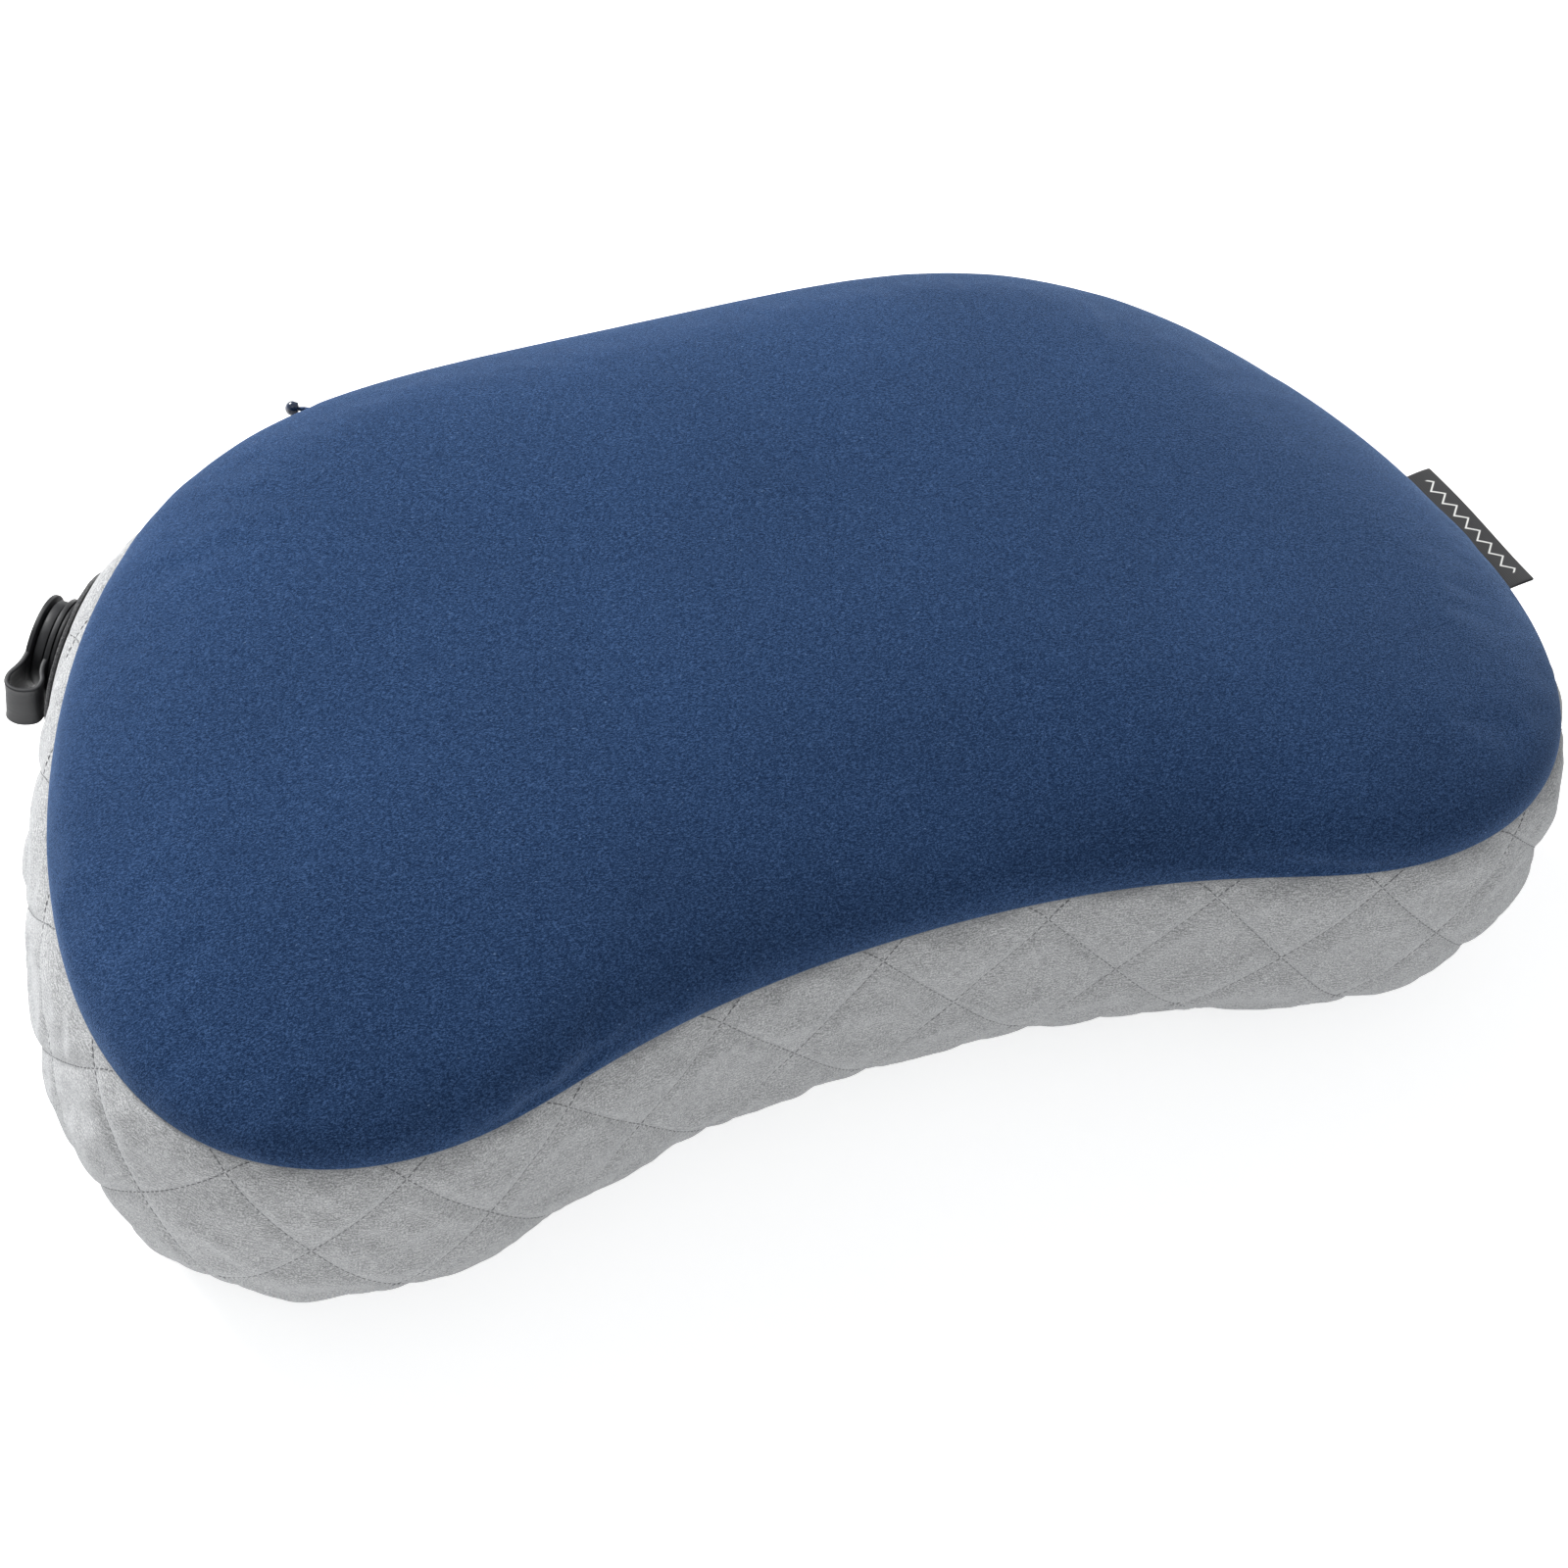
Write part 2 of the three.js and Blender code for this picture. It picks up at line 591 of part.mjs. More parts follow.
// The slider closes the zip as it runs to the left, so it rests by the left stop.
const sliderX = zipLeft + STOP_LENGTH + 2 * GAP + SLIDER.length / 2;
const plateFront = coilFront + GAP + SLIDER.plate;
const bridgeFront = plateFront + BRIDGE.reach;
const pinY = bridgeFront - BRIDGE.eye;
function zipSlider() {
  const height = 2 * (ZIP_SLOT - SLIDER.room);
  const plate = (y) => box(SLIDER.length, SLIDER.plate, height, sliderX, y, SEAM_Z);
  const postThick = 2 * (COIL_INNER - POST.room);
  const postDepth = plateFront - sliderBack;
  const postY = plateFront - postDepth / 2;
  const post = box(POST.length, postDepth, postThick, sliderX - POST.ahead, postY, SEAM_Z);
  const bridgeDepth = BRIDGE.reach + SLIDER.plate;
  const bridgeY = bridgeFront - bridgeDepth / 2;
  const bridge = box(BRIDGE.length, bridgeDepth, BRIDGE.height, sliderX, bridgeY, SEAM_Z);
  const eye = box(BRIDGE.eyeLength, BRIDGE.eye, 2 * height, sliderX, pinY, SEAM_Z);
  const front = plate(plateFront - SLIDER.plate / 2);
  const back = plate(sliderBack + SLIDER.plate / 2);
  return front.add(back).add(post).add(bridge).subtract(eye);
}
add(pillow, "zip_slider", zipSlider(), 0x24406a, 0.45);

// The pull hangs from a pin in the bridge's eye: a wire fork, a short cord and a moulded bead.
// It leans out of the seam, so it is built pointing to -X about the pin and then turned.
function zipPull() {
  const inside = BRIDGE.height / 2 + GAP;
  const outside = inside + PULL.wire;
  const cylinder = (radius, length) => new THREE.CylinderGeometry(radius, radius, length, 10);
  let pull = toSolid(cylinder(PULL.pin, 2 * outside).rotateX(Math.PI / 2));
  for (const [, side] of BOTH) {
    const armZ = side * (outside - PULL.wire / 2);
    const armX = (PULL.pin - PULL.arm) / 2;
    pull = pull.add(box(PULL.arm + PULL.pin, PULL.width, PULL.wire, armX, 0, armZ));
  }
  pull = pull.add(box(PULL.width, PULL.width, 2 * outside, -PULL.arm, 0, 0));
  const cord = cylinder(PULL.cord, PULL.reach - PULL.arm).rotateZ(Math.PI / 2);
  cord.translate(-(PULL.reach + PULL.arm) / 2, 0, 0);
  const bead = new THREE.SphereGeometry(0.5, 14, 10).scale(BEAD.long, BEAD.deep, BEAD.tall);
  pull = pull.add(toSolid(cord)).add(toSolid(bead.translate(-PULL.reach, 0, 0)));
  return pull.rotate([0, 0, -PULL.lean]).translate([sliderX, pinY, SEAM_Z]);
}
add(pillow, "zip_pull", zipPull(), 0x1c2638, 0.35);

export default pillow;
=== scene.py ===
"""Camp pillow: a bean-shaped air pillow in a brushed blue and quilted grey cover, on a pale floor."""
import json
import math

import bmesh
import bpy
import numpy as np
from mathutils import Matrix, Vector, noise
from mathutils.bvhtree import BVHTree
from mathutils.geometry import delaunay_2d_cdt
from mathutils.kdtree import KDTree


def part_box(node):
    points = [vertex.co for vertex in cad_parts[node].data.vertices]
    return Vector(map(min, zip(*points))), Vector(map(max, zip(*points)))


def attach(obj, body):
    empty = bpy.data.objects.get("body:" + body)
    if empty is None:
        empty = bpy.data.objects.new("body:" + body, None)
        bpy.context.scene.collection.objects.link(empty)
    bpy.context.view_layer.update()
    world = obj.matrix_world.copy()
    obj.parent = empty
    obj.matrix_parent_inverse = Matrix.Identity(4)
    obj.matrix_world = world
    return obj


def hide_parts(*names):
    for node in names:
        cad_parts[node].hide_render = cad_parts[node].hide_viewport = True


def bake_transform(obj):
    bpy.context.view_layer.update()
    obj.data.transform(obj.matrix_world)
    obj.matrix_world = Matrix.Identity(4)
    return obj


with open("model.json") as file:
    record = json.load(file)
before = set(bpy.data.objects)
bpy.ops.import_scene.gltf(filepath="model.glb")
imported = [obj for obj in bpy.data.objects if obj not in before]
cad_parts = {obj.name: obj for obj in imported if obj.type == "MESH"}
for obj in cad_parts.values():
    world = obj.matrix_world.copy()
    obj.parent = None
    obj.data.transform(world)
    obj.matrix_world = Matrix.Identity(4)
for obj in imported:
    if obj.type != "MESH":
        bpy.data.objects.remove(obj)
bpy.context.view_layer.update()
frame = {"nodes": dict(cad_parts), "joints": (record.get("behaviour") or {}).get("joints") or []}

MM = 0.001


def into_scene(name, data):
    thing = bpy.data.objects.new(name, data)
    bpy.context.scene.collection.objects.link(thing)
    return thing


# ---- Camera ----
VIEW_AZIMUTH = -33.36
VIEW_ELEVATION = 52.33
VIEW_ROLL = 12.65
VIEW_DISTANCE = 1.01395
VIEW_LENS = 84.92
VIEW_TARGET = Vector((-1.36, -20.87, 49.98)) * MM


def view_axes():
    """The camera's right, up and back directions."""
    azimuth, elevation, roll = map(math.radians, (VIEW_AZIMUTH, VIEW_ELEVATION, VIEW_ROLL))
    level = Vector((math.sin(azimuth), -math.cos(azimuth), 0))
    back = level * math.cos(elevation) + Vector((0, 0, math.sin(elevation)))
    right = (-back).cross(Vector((0, 0, 1))).normalized()
    up = right.cross(-back)
    turned_right = right * math.cos(roll) + up * math.sin(roll)
    return turned_right, up * math.cos(roll) - right * math.sin(roll), back


def make_camera():
    right, up, back = view_axes()
    data = bpy.data.cameras.new("camera")
    data.lens = VIEW_LENS
    data.clip_start, data.clip_end = 0.05, 50
    camera = into_scene("camera", data)
    turn = Matrix((right, up, back)).transposed().to_4x4()
    camera.matrix_world = Matrix.Translation(VIEW_TARGET + back * VIEW_DISTANCE) @ turn
    bpy.context.scene.camera = camera


make_camera()

# ---- Sizes of the pillow, in metres. The frame's outline is a polygon, so boxes are rounded ----
quilt_low, quilt_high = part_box("quilt_face")
_, top_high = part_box("top_panel")
seam_low, seam_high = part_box("perimeter_seam")
_, tape_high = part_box("zip_tape_upper")
coil_low, coil_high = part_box("zip_coil_upper")
joints = {joint["name"]: joint for joint in frame["joints"]}
pin_point = Vector(joints["pull_swing"]["pos_m"])
LENGTH = round(quilt_high.x - quilt_low.x, 3)
DEPTH = round(quilt_high.y - quilt_low.y, 3)
CROWN_Z = top_high.z
SEAM_Z = (seam_low.z + seam_high.z) / 2
WALL_BULGE = 6 * MM
BULGE_Z = 43 * MM
FOOT_INSET = 37 * MM
CROWN_Y = 14 * MM
ROUNDNESS = 2.3  # of the crown: 2 is an ellipse, more is squarer
X_WAVES = (1, 0.107, 0, -0.033, 0.019)
Y_WAVES = (1, 0.39, -0.097, -0.075, -0.022)

# Quilting: diamonds round the wall, sewn through the face, wadding and lining
DIAMONDS_ROUND = 25
CELLS = 16  # mesh columns in a diamond, and twice the rows in half of one
DIAMOND_HALF = 26 * MM  # half a diamond, down the wall
FIRST_CROSSING = 5.5 * MM  # below the seam
CROSSING_AT = 593.4 * MM  # round the wall from the middle of the back
QUILT_VALLEY = 0.9 * MM
QUILT_PUFF = 0.6 * MM
QUILT_SOFT = 3.6 * MM  # how far a stitch pulls the cloth down on each side
FOOT_SEAM = FIRST_CROSSING + DIAMOND_HALF * 3.75
CLOTH = 1 * MM
SEAM_TUCK = 1.3 * MM
EDGE_GAP = 0.25 * MM  # from the seam's middle to each panel's edge
ZIP_MOUTH = 3.5 * MM  # half height of the opening over the zip
MOUTH_REACH = 6 * MM  # how far from the seam the mouth draws the cloth
SEAM_FADE, FOOT_FADE = 5 * MM, 6 * MM  # where the puffs die out at either edge of the wall
FLOOR_GAP = 0.2 * MM
FILL_SPACING = 3.3 * MM  # between mesh points inside a ring

LABEL_AT = math.radians(70.5)
LABEL_LENGTH = 47 * MM
LABEL_REACH = 10.5 * MM
LABEL_TUCK = 1.2 * MM
VALVE_CLEAR, VALVE_FADE = 24 * MM, 9 * MM  # flat cloth round the valve, and the run out to puffs
VALVE_SWELL = 3.0 * MM  # the stiff flange inside pushes the cloth out here
VALVE_OPENING = 16.5 * MM  # radius of the hole in the cloth, hidden by the patch
HINGE_OUT, HINGE_UP = 15.5 * MM, 3.1 * MM  # the plug's hinge line, from the valve's axis and zero


# ---- Shape ----
def raw_plan(t):
    x = sum(w * np.sin((k + 1) * t) for k, w in enumerate(X_WAVES))
    y = sum(w * np.cos((k + 1) * t) for k, w in enumerate(Y_WAVES))
    return x, y


def plan_scale():
    x, y = raw_plan(np.linspace(0, 2 * np.pi, 7201))
    across = (LENGTH / 2 - WALL_BULGE) / x.max()
    deep = (DEPTH - 2 * WALL_BULGE) / (y.max() - y.min())
    return across, deep, (y.max() + y.min()) / 2


PLAN_SCALE = plan_scale()


def seam_line(t):
    """The seam in plan, t radians clockwise from the middle of the back."""
    across, deep, middle = PLAN_SCALE
    x, y = raw_plan(np.asarray(t, float))
    return np.stack([x * across, (y - middle) * deep], -1)


def outward(t):
    step = 1e-4
    along = seam_line(np.asarray(t) + step) - seam_line(np.asarray(t) - step)
    normal = np.stack([-along[..., 1], along[..., 0]], -1)
    return normal / np.linalg.norm(normal, axis=-1, keepdims=True)


def lengths(points):
    """Distance along a line of points, from its first."""
    return np.concatenate([[0], np.cumsum(np.linalg.norm(np.diff(points, axis=0), axis=1))])


TURN = np.linspace(0, 2 * np.pi, 7201)
ROUND = lengths(seam_line(TURN) + outward(TURN) * WALL_BULGE)
GIRTH = ROUND[-1]

PROFILE_TURN = np.linspace(0, np.pi, 2001)
over = PROFILE_TURN <= np.pi / 2
under_turn = PROFILE_TURN - np.pi / 2
PROFILE_OUT = np.where(
    over,
    WALL_BULGE * np.sin(PROFILE_TURN),
    (WALL_BULGE + FOOT_INSET) * np.cos(under_turn) - FOOT_INSET,
)
PROFILE_Z = np.where(
    over,
    BULGE_Z + (SEAM_Z - BULGE_Z) * np.cos(PROFILE_TURN),
    BULGE_Z * (1 - np.sin(under_turn)),
)
PROFILE_DOWN = lengths(np.stack([PROFILE_OUT, PROFILE_Z], -1))


def wall_point(t, down, lift=0.0):
    """A point of the quilted wall: t round the plan, a distance down from the seam, lifted off."""
    step = 0.4 * MM
    (out, slope_out), (z, slope_z) = (
        [
            np.interp(down, PROFILE_DOWN, line),
            np.interp(down + step, PROFILE_DOWN, line) - np.interp(down - step, PROFILE_DOWN, line),
        ]
        for line in (PROFILE_OUT, PROFILE_Z)
    )
    size = np.hypot(slope_out, slope_z) + 1e-12
    reach = out - lift * slope_z / size
    flat = seam_line(t) + outward(t) * np.asarray(reach)[..., None]
    height = np.broadcast_to(z + lift * slope_out / size, flat.shape[:-1])
    return np.concatenate([flat, height[..., None]], -1)


SEAM_ANGLES = np.arctan2(*(seam_line(TURN) - (0, CROWN_Y)).T)
SEAM_RADII = np.linalg.norm(seam_line(TURN) - (0, CROWN_Y), axis=1)


def about_crown(x, y):
    """Angle of a plan point about the crown, its distance out and the seam's distance there."""
    angle = np.arctan2(x, y - CROWN_Y) % (2 * np.pi)
    edge = np.interp(angle, np.unwrap(SEAM_ANGLES), SEAM_RADII, period=2 * np.pi)
    return angle, np.hypot(x, y - CROWN_Y), edge


def crown_height(x, y):
    """Height of the top over a point in plan."""
    _, out, edge = about_crown(x, y)
    rise = (1 - np.clip(out / edge, 0, 1) ** ROUNDNESS) ** (1 / ROUNDNESS)
    return SEAM_Z + (CROWN_Z - SEAM_Z) * rise


def smooth_step(value):
    value = np.clip(value, 0, 1)
    return value * value * (3 - 2 * value)


def zip_share(t):
    """1 over the zip and 0 away from it, with a short run at each end."""
    x, y = seam_line(t).T
    fade = 5 * MM
    inside = smooth_step((tape_high.x + fade - np.abs(x)) / fade)
    return inside * (y > 0)


# ---- Modelling helpers ----
def select_only(*objects):
    bpy.ops.object.select_all(action="DESELECT")
    for piece in objects:
        piece.select_set(True)
    bpy.context.view_layer.objects.active = objects[0]


def named(name):
    """The primitive just added, under its own name."""
    piece = bpy.context.object
    piece.name = piece.data.name = name
    return piece


def edit(piece):
    """Opens a mesh for editing, with all of it selected."""
    select_only(piece)
    bpy.ops.object.mode_set(mode="EDIT")
    bpy.ops.mesh.select_all(action="SELECT")


def turn_faces_out(piece):
    edit(piece)
    bpy.ops.mesh.normals_make_consistent(inside=False)
    bpy.ops.object.mode_set(mode="OBJECT")


def scaled(piece, *scale):
    """Stretches a primitive in its own mesh."""
    piece.scale = scale
    bpy.ops.object.transform_apply(location=False, rotation=True, scale=True)
    return piece


def modify(piece, kind, **settings):
    """Adds a modifier and applies it."""
    select_only(piece)
    modifier = piece.modifiers.new(kind.lower(), kind)
    for key, value in settings.items():
        setattr(modifier, key, value)
    bpy.ops.object.modifier_apply(modifier=modifier.name)


def refine(piece):
    modify(piece, "SUBSURF", levels=1, render_levels=1)


def smooth(piece, degrees=40):
    select_only(piece)
    bpy.ops.object.shade_smooth_by_angle(angle=math.radians(degrees))


def place(piece, matrix):
    """Puts a piece made on the bench where it belongs, with its place in its mesh."""
    piece.data.transform(matrix @ piece.matrix_world)
    piece.matrix_world = Matrix.Identity(4)
    if matrix.determinant() < 0:
        piece.data.flip_normals()
    piece.data.update()


def mesh_piece(name, points, faces):
    mesh = bpy.data.meshes.new(name)
    mesh.from_pydata([tuple(p) for p in points], [], faces)
    return into_scene(name, mesh)


def points_of(piece):
    points = np.empty(len(piece.data.vertices) * 3)
    piece.data.vertices.foreach_get("co", points)
    return points.reshape(-1, 3)


def set_points(piece, points):
    piece.data.vertices.foreach_set("co", np.ascontiguousarray(points).ravel())
    piece.data.update()


def push_out(piece, lift):
    """Moves each point along its own normal."""
    normals = np.array([tuple(v.normal) for v in piece.data.vertices])
    set_points(piece, points_of(piece) + normals * lift[:, None])


def ring_faces(count, rings, flip=False):
    """Faces between closed rings of count points that follow one another."""
    faces = []
    for ring in range(rings - 1):
        for k in range(count):
            a, b = ring * count + k, ring * count + (k + 1) % count
            faces.append((a, b, b + count, a + count) if flip else (a, a + count, b + count, b))
    return faces


FABRIC = {
    "quality": 6,
    "mass": 0.1,
    "tension_stiffness": 12,
    "compression_stiffness": 4,
    "shear_stiffness": 4,
    "bending_stiffness": 0.15,
    "vertex_group_mass": "sewn",
    "use_pressure": True,
    "uniform_pressure_force": 1.2,
}
SETTLE_FRAMES = 14


def settle(piece, held, slack, cap):
    """Cloth simulation: the sewn points stay, the rest fills out and puckers by up to cap."""
    start = points_of(piece)
    group = piece.vertex_groups.new(name="sewn")
    group.add([int(i) for i in held], 1.0, "REPLACE")
    cloth = piece.modifiers.new("settle", "CLOTH")
    for key, value in FABRIC.items():
        setattr(cloth.settings, key, value)
    cloth.settings.shrink_min = -slack
    cloth.settings.effector_weights.gravity = 0
    cloth.collision_settings.use_collision = False
    cloth.point_cache.frame_start = 1
    cloth.point_cache.frame_end = SETTLE_FRAMES
    for step in range(1, SETTLE_FRAMES + 1):
        bpy.context.scene.frame_set(step)
    change = points_of(piece.evaluated_get(bpy.context.evaluated_depsgraph_get())) - start
    size = np.linalg.norm(change, axis=1, keepdims=True)
    change *= np.minimum(1, cap / np.maximum(size, 1e-9))
    piece.modifiers.remove(cloth)
    piece.vertex_groups.remove(group)
    bpy.context.scene.frame_set(1)
    set_points(piece, start + change)


def ripple(points, scale, seed):
    """Smooth noise at each point, from -1 to 1."""
    shift = Vector((seed, 2 * seed, 3 * seed))
    return np.array([noise.noise(Vector(p) * scale + shift) for p in points])


def thicken(piece, thickness, keep_inside):
    """Gives a cloth its thickness inwards, with fewer faces on the side that is never seen."""
    piece.vertex_groups.new(name="inside")
    shell = {"thickness": thickness, "offset": -1, "use_even_offset": False}
    modify(piece, "SOLIDIFY", shell_vertex_group="inside", **shell)
    modify(piece, "DECIMATE", ratio=keep_inside, vertex_group="inside")
    piece.vertex_groups.clear()


# ---- Finishes ----
class Finish:
    """A material, mixed from nodes on Object coordinates or the piece's own cloth map."""

    def __init__(self, name, roughness, **sockets):
        self.material = bpy.data.materials.new(name)
        self.material.use_nodes = True
        self.tree = self.material.node_tree
        self.shader = self.tree.nodes["Principled BSDF"]
        for socket, value in sockets.items():
            self.fill(self.shader.inputs[socket.replace("_", " ")], value)
        self.fill(self.shader.inputs["Roughness"], roughness)

    def fill(self, socket, value):
        """Links a node's output to a socket, or sets the socket to a number, place or colour."""
        if isinstance(value, bpy.types.NodeSocket):
            self.tree.links.new(value, socket)
        elif socket.type == "RGBA":
            socket.default_value = (*value, 1)
        else:
            socket.default_value = value

    def node(self, kind, **values):
        made = self.tree.nodes.new("ShaderNode" + kind)
        for socket, value in values.items():
            self.fill(made.inputs[socket.replace("_", " ")], value)
        return made

    def place(self, stretch=(1, 1, 1), turn=0.0, use="Object"):
        where = self.node("TexCoord").outputs[use]
        return self.node("Mapping", Vector=where, Scale=stretch, Rotation=(0, 0, turn)).outputs[0]

    def noise(self, where, scale, detail=2.0, roughness=0.5, warp=0.0):
        look = {"Scale": scale, "Detail": detail, "Roughness": roughness, "Distortion": warp}
        return self.node("TexNoise", Vector=where, **look).outputs["Fac"]

    def wave(self, where, scale, direction="X", warp=0.0):
        node = self.node("TexWave", Vector=where, Scale=scale, Distortion=warp, Detail_Scale=3)
        node.bands_direction = direction
        return node.outputs["Fac"]

    def ramp(self, value, *stops):
        """Maps a value through (place, colour or grey) stops."""
        node = self.node("ValToRGB", Fac=value)
        band = node.color_ramp.elements
        while len(band) < len(stops):
            band.new(0.5)
        for element, (spot, tone) in zip(band, stops):
            element.position = spot
            element.color = (*(tone if hasattr(tone, "__len__") else (tone,) * 3), 1)
        return node.outputs["Color"]

    def math(self, what, a, b=0.0):
        node = self.tree.nodes.new("ShaderNodeMath")
        node.operation = what
        self.fill(node.inputs[0], a)
        self.fill(node.inputs[1], b)
        return node.outputs[0]

    def add_up(self, *parts):
        """The sum of (value, share) parts."""
        total, *others = [self.math("MULTIPLY", value, share) for value, share in parts]
        for other in others:
            total = self.math("ADD", total, other)
        return total

    def mix(self, factor, a, b, blend="MIX"):
        node = self.tree.nodes.new("ShaderNodeMix")
        node.data_type, node.blend_type = "RGBA", blend
        for spot, value in ((0, factor), (6, a), (7, b)):
            self.fill(node.inputs[spot], value)
        return node.outputs[2]

    def colour(self, value, *stops):
        self.fill(self.shader.inputs["Base Color"], self.ramp(value, *stops) if stops else value)

    def rough(self, value, *stops):
        self.fill(self.shader.inputs["Roughness"], self.ramp(value, *stops))

    def bump(self, height, distance, strength=1.0):
        node = self.node("Bump", Height=height, Distance=distance, Strength=strength)
        self.fill(self.shader.inputs["Normal"], node.outputs["Normal"])


def brushed_blue():
    """Microfibre with a short brushed nap: fine clumps, slow tone changes and stray light fibres."""
    sheen = {"Sheen_Weight": 0.5, "Sheen_Roughness": 0.35, "Sheen_Tint": (0.3, 0.45, 0.75)}
    finish = Finish("brushed_blue", 0.95, Specular_IOR_Level=0.1, **sheen)
    lying = finish.place(stretch=(1, 1.9, 1.4), turn=math.radians(20))
    clumps = finish.noise(lying, 1450, detail=3, roughness=0.66, warp=0.6)
    fuzz = finish.noise(finish.place(), 3400, detail=2, roughness=0.7)
    broad = finish.noise(finish.place(), 16, detail=3, roughness=0.5)
    nap = finish.add_up((clumps, 0.7), (fuzz, 0.3))
    base = finish.ramp(
        nap, (0.38, (0.0025, 0.0115, 0.038)), (0.5, (0.0115, 0.032, 0.084)), (0.61, (0.042, 0.085, 0.188))
    )
    toned = finish.mix(0.5, base, finish.ramp(broad, (0.3, 0.42), (0.7, 0.58)), "OVERLAY")
    across = finish.place(stretch=(1, 3.2, 2), turn=math.radians(-35))
    strays = finish.noise(across, 760, detail=1, roughness=0.4)
    fibres = finish.ramp(strays, (0.765, 0.0), (0.8, 0.55))
    finish.colour(finish.mix(fibres, toned, (0.16, 0.25, 0.42)))
    finish.bump(nap, 0.5 * MM, 0.9)
    return finish.material


def melange_grey():
    """Brushed grey knit: light and dark fibres mixed, with faint courses of the knit."""
    sheen = {"Sheen_Weight": 0.2, "Sheen_Roughness": 0.5, "Sheen_Tint": (0.9, 0.92, 0.95)}
    finish = Finish("melange_grey", 0.95, Specular_IOR_Level=0.1, **sheen)
    cloth = finish.place(use="UV")
    fleck = finish.noise(finish.place(stretch=(1, 1.5, 1), use="UV"), 1800, detail=3, roughness=0.7)
    fuzz = finish.noise(cloth, 4200, detail=2, roughness=0.6)
    patch = finish.noise(cloth, 130, detail=3, roughness=0.6)
    course = finish.noise(finish.place(stretch=(1, 5, 1), use="UV"), 420, detail=2)
    tone = finish.add_up((fleck, 0.68), (patch, 0.06), (course, 0.26))
    light, middle, dark = (0.5, 0.504, 0.508), (0.305, 0.309, 0.313), (0.17, 0.174, 0.177)
    finish.colour(tone, (0.4, dark), (0.5, middle), (0.6, light))
    nap = finish.add_up((fleck, 0.6), (fuzz, 0.4))
    finish.bump(nap, 0.35 * MM, 0.7)
    return finish.material


def plain_knit(name, tone, spread=0.08):
    """A quiet textile for hidden layers: short fibres in one tone."""
    finish = Finish(name, 0.95, Sheen_Weight=0.15)
    fibres = finish.noise(finish.place(stretch=(1, 1, 2)), 1200, detail=3, roughness=0.6)
    darker, lighter = (tuple(c * f for c in tone) for f in (1 - spread * 3, 1 + spread))
    finish.colour(fibres, (0.35, darker), (0.65, lighter))
    finish.bump(fibres, 0.3 * MM, 0.5)
    return finish.material


def felt_dark():
    finish = Finish("felt_dark", 0.97, Sheen_Weight=0.25, Specular_IOR_Level=0.1)
    fibre = finish.noise(finish.place(), 1900, detail=4, roughness=0.75, warp=1.5)
    finish.colour(fibre, (0.38, (0.03, 0.03, 0.033)), (0.52, (0.085, 0.085, 0.088)), (0.66, 0.2))
    finish.bump(fibre, 0.5 * MM, 0.9)
    return finish.material


def moulded_black(name="moulded_black", tone=0.011, rough=0.5):
    """Soft moulded plastic: fine matt grain and faint handling marks."""
    finish = Finish(name, rough, Specular_IOR_Level=0.36)
    grain = finish.noise(finish.place(), 5200, detail=2, roughness=0.5)
    marks = finish.noise(finish.place(stretch=(1, 1, 4)), 260, detail=4, roughness=0.65)
    dark, light = (tuple(tone * f for f in cast) for cast in ((0.8, 0.83, 0.95), (1.5, 1.55, 1.75)))
    finish.colour(marks, (0.3, dark), (0.75, light))
    finish.rough(marks, (0.3, rough - 0.08), (0.7, rough + 0.12))
    finish.bump(grain, 0.05 * MM, 0.4)
    return finish.material


def woven(name, dark, light, pitch, rough=0.85):
    """A plain weave of ribs across and along."""
    finish = Finish(name, rough, Sheen_Weight=0.1, Specular_IOR_Level=0.25)
    cloth = finish.place(turn=math.radians(45))
    along, across = (finish.wave(cloth, 1 / pitch / 6.283, way, warp=0.4) for way in "XZ")
    weave = finish.math("MULTIPLY", along, across)
    finish.colour(weave, (0.0, dark), (0.8, light))
    finish.bump(weave, 0.15 * MM, 0.7)
    return finish.material


def film_grey():
    finish = Finish("film_grey", 0.42, Specular_IOR_Level=0.4)
    crumple = finish.noise(finish.place(), 60, detail=5, roughness=0.6, warp=0.8)
    finish.colour(crumple, (0.3, (0.3, 0.33, 0.37)), (0.7, (0.4, 0.43, 0.47)))
    finish.bump(crumple, 0.6 * MM, 0.4)
    return finish.material


def thread_grey():
    finish = Finish("thread_grey", 0.7, Specular_IOR_Level=0.3)
    twist = finish.noise(finish.place(), 6000, detail=1)
    finish.colour(twist, (0.3, (0.1, 0.102, 0.108)), (0.7, (0.19, 0.192, 0.2)))
    finish.bump(twist, 0.1 * MM, 0.5)
    return finish.material


def enamel_blue():
    finish = Finish("enamel_blue", 0.38, Coat_Weight=0.3, Specular_IOR_Level=0.5)
    orange_peel = finish.noise(finish.place(), 2500, detail=1)
    worn = finish.noise(finish.place(), 900, detail=4, roughness=0.7)
    finish.colour(worn, (0.35, (0.014, 0.03, 0.075)), (0.7, (0.022, 0.045, 0.105)))
    finish.rough(worn, (0.35, 0.3), (0.7, 0.5))
    finish.bump(orange_peel, 0.02 * MM, 0.4)
    return finish.material


def glossy_bead():
    finish = Finish("glossy_bead", 0.2, Coat_Weight=0.4, Specular_IOR_Level=0.55)
    swirl = finish.noise(finish.place(), 700, detail=3, warp=1.0)
    finish.colour(swirl, (0.35, (0.008, 0.015, 0.035)), (0.7, (0.016, 0.03, 0.065)))
    finish.rough(swirl, (0.3, 0.14), (0.7, 0.3))
    return finish.material


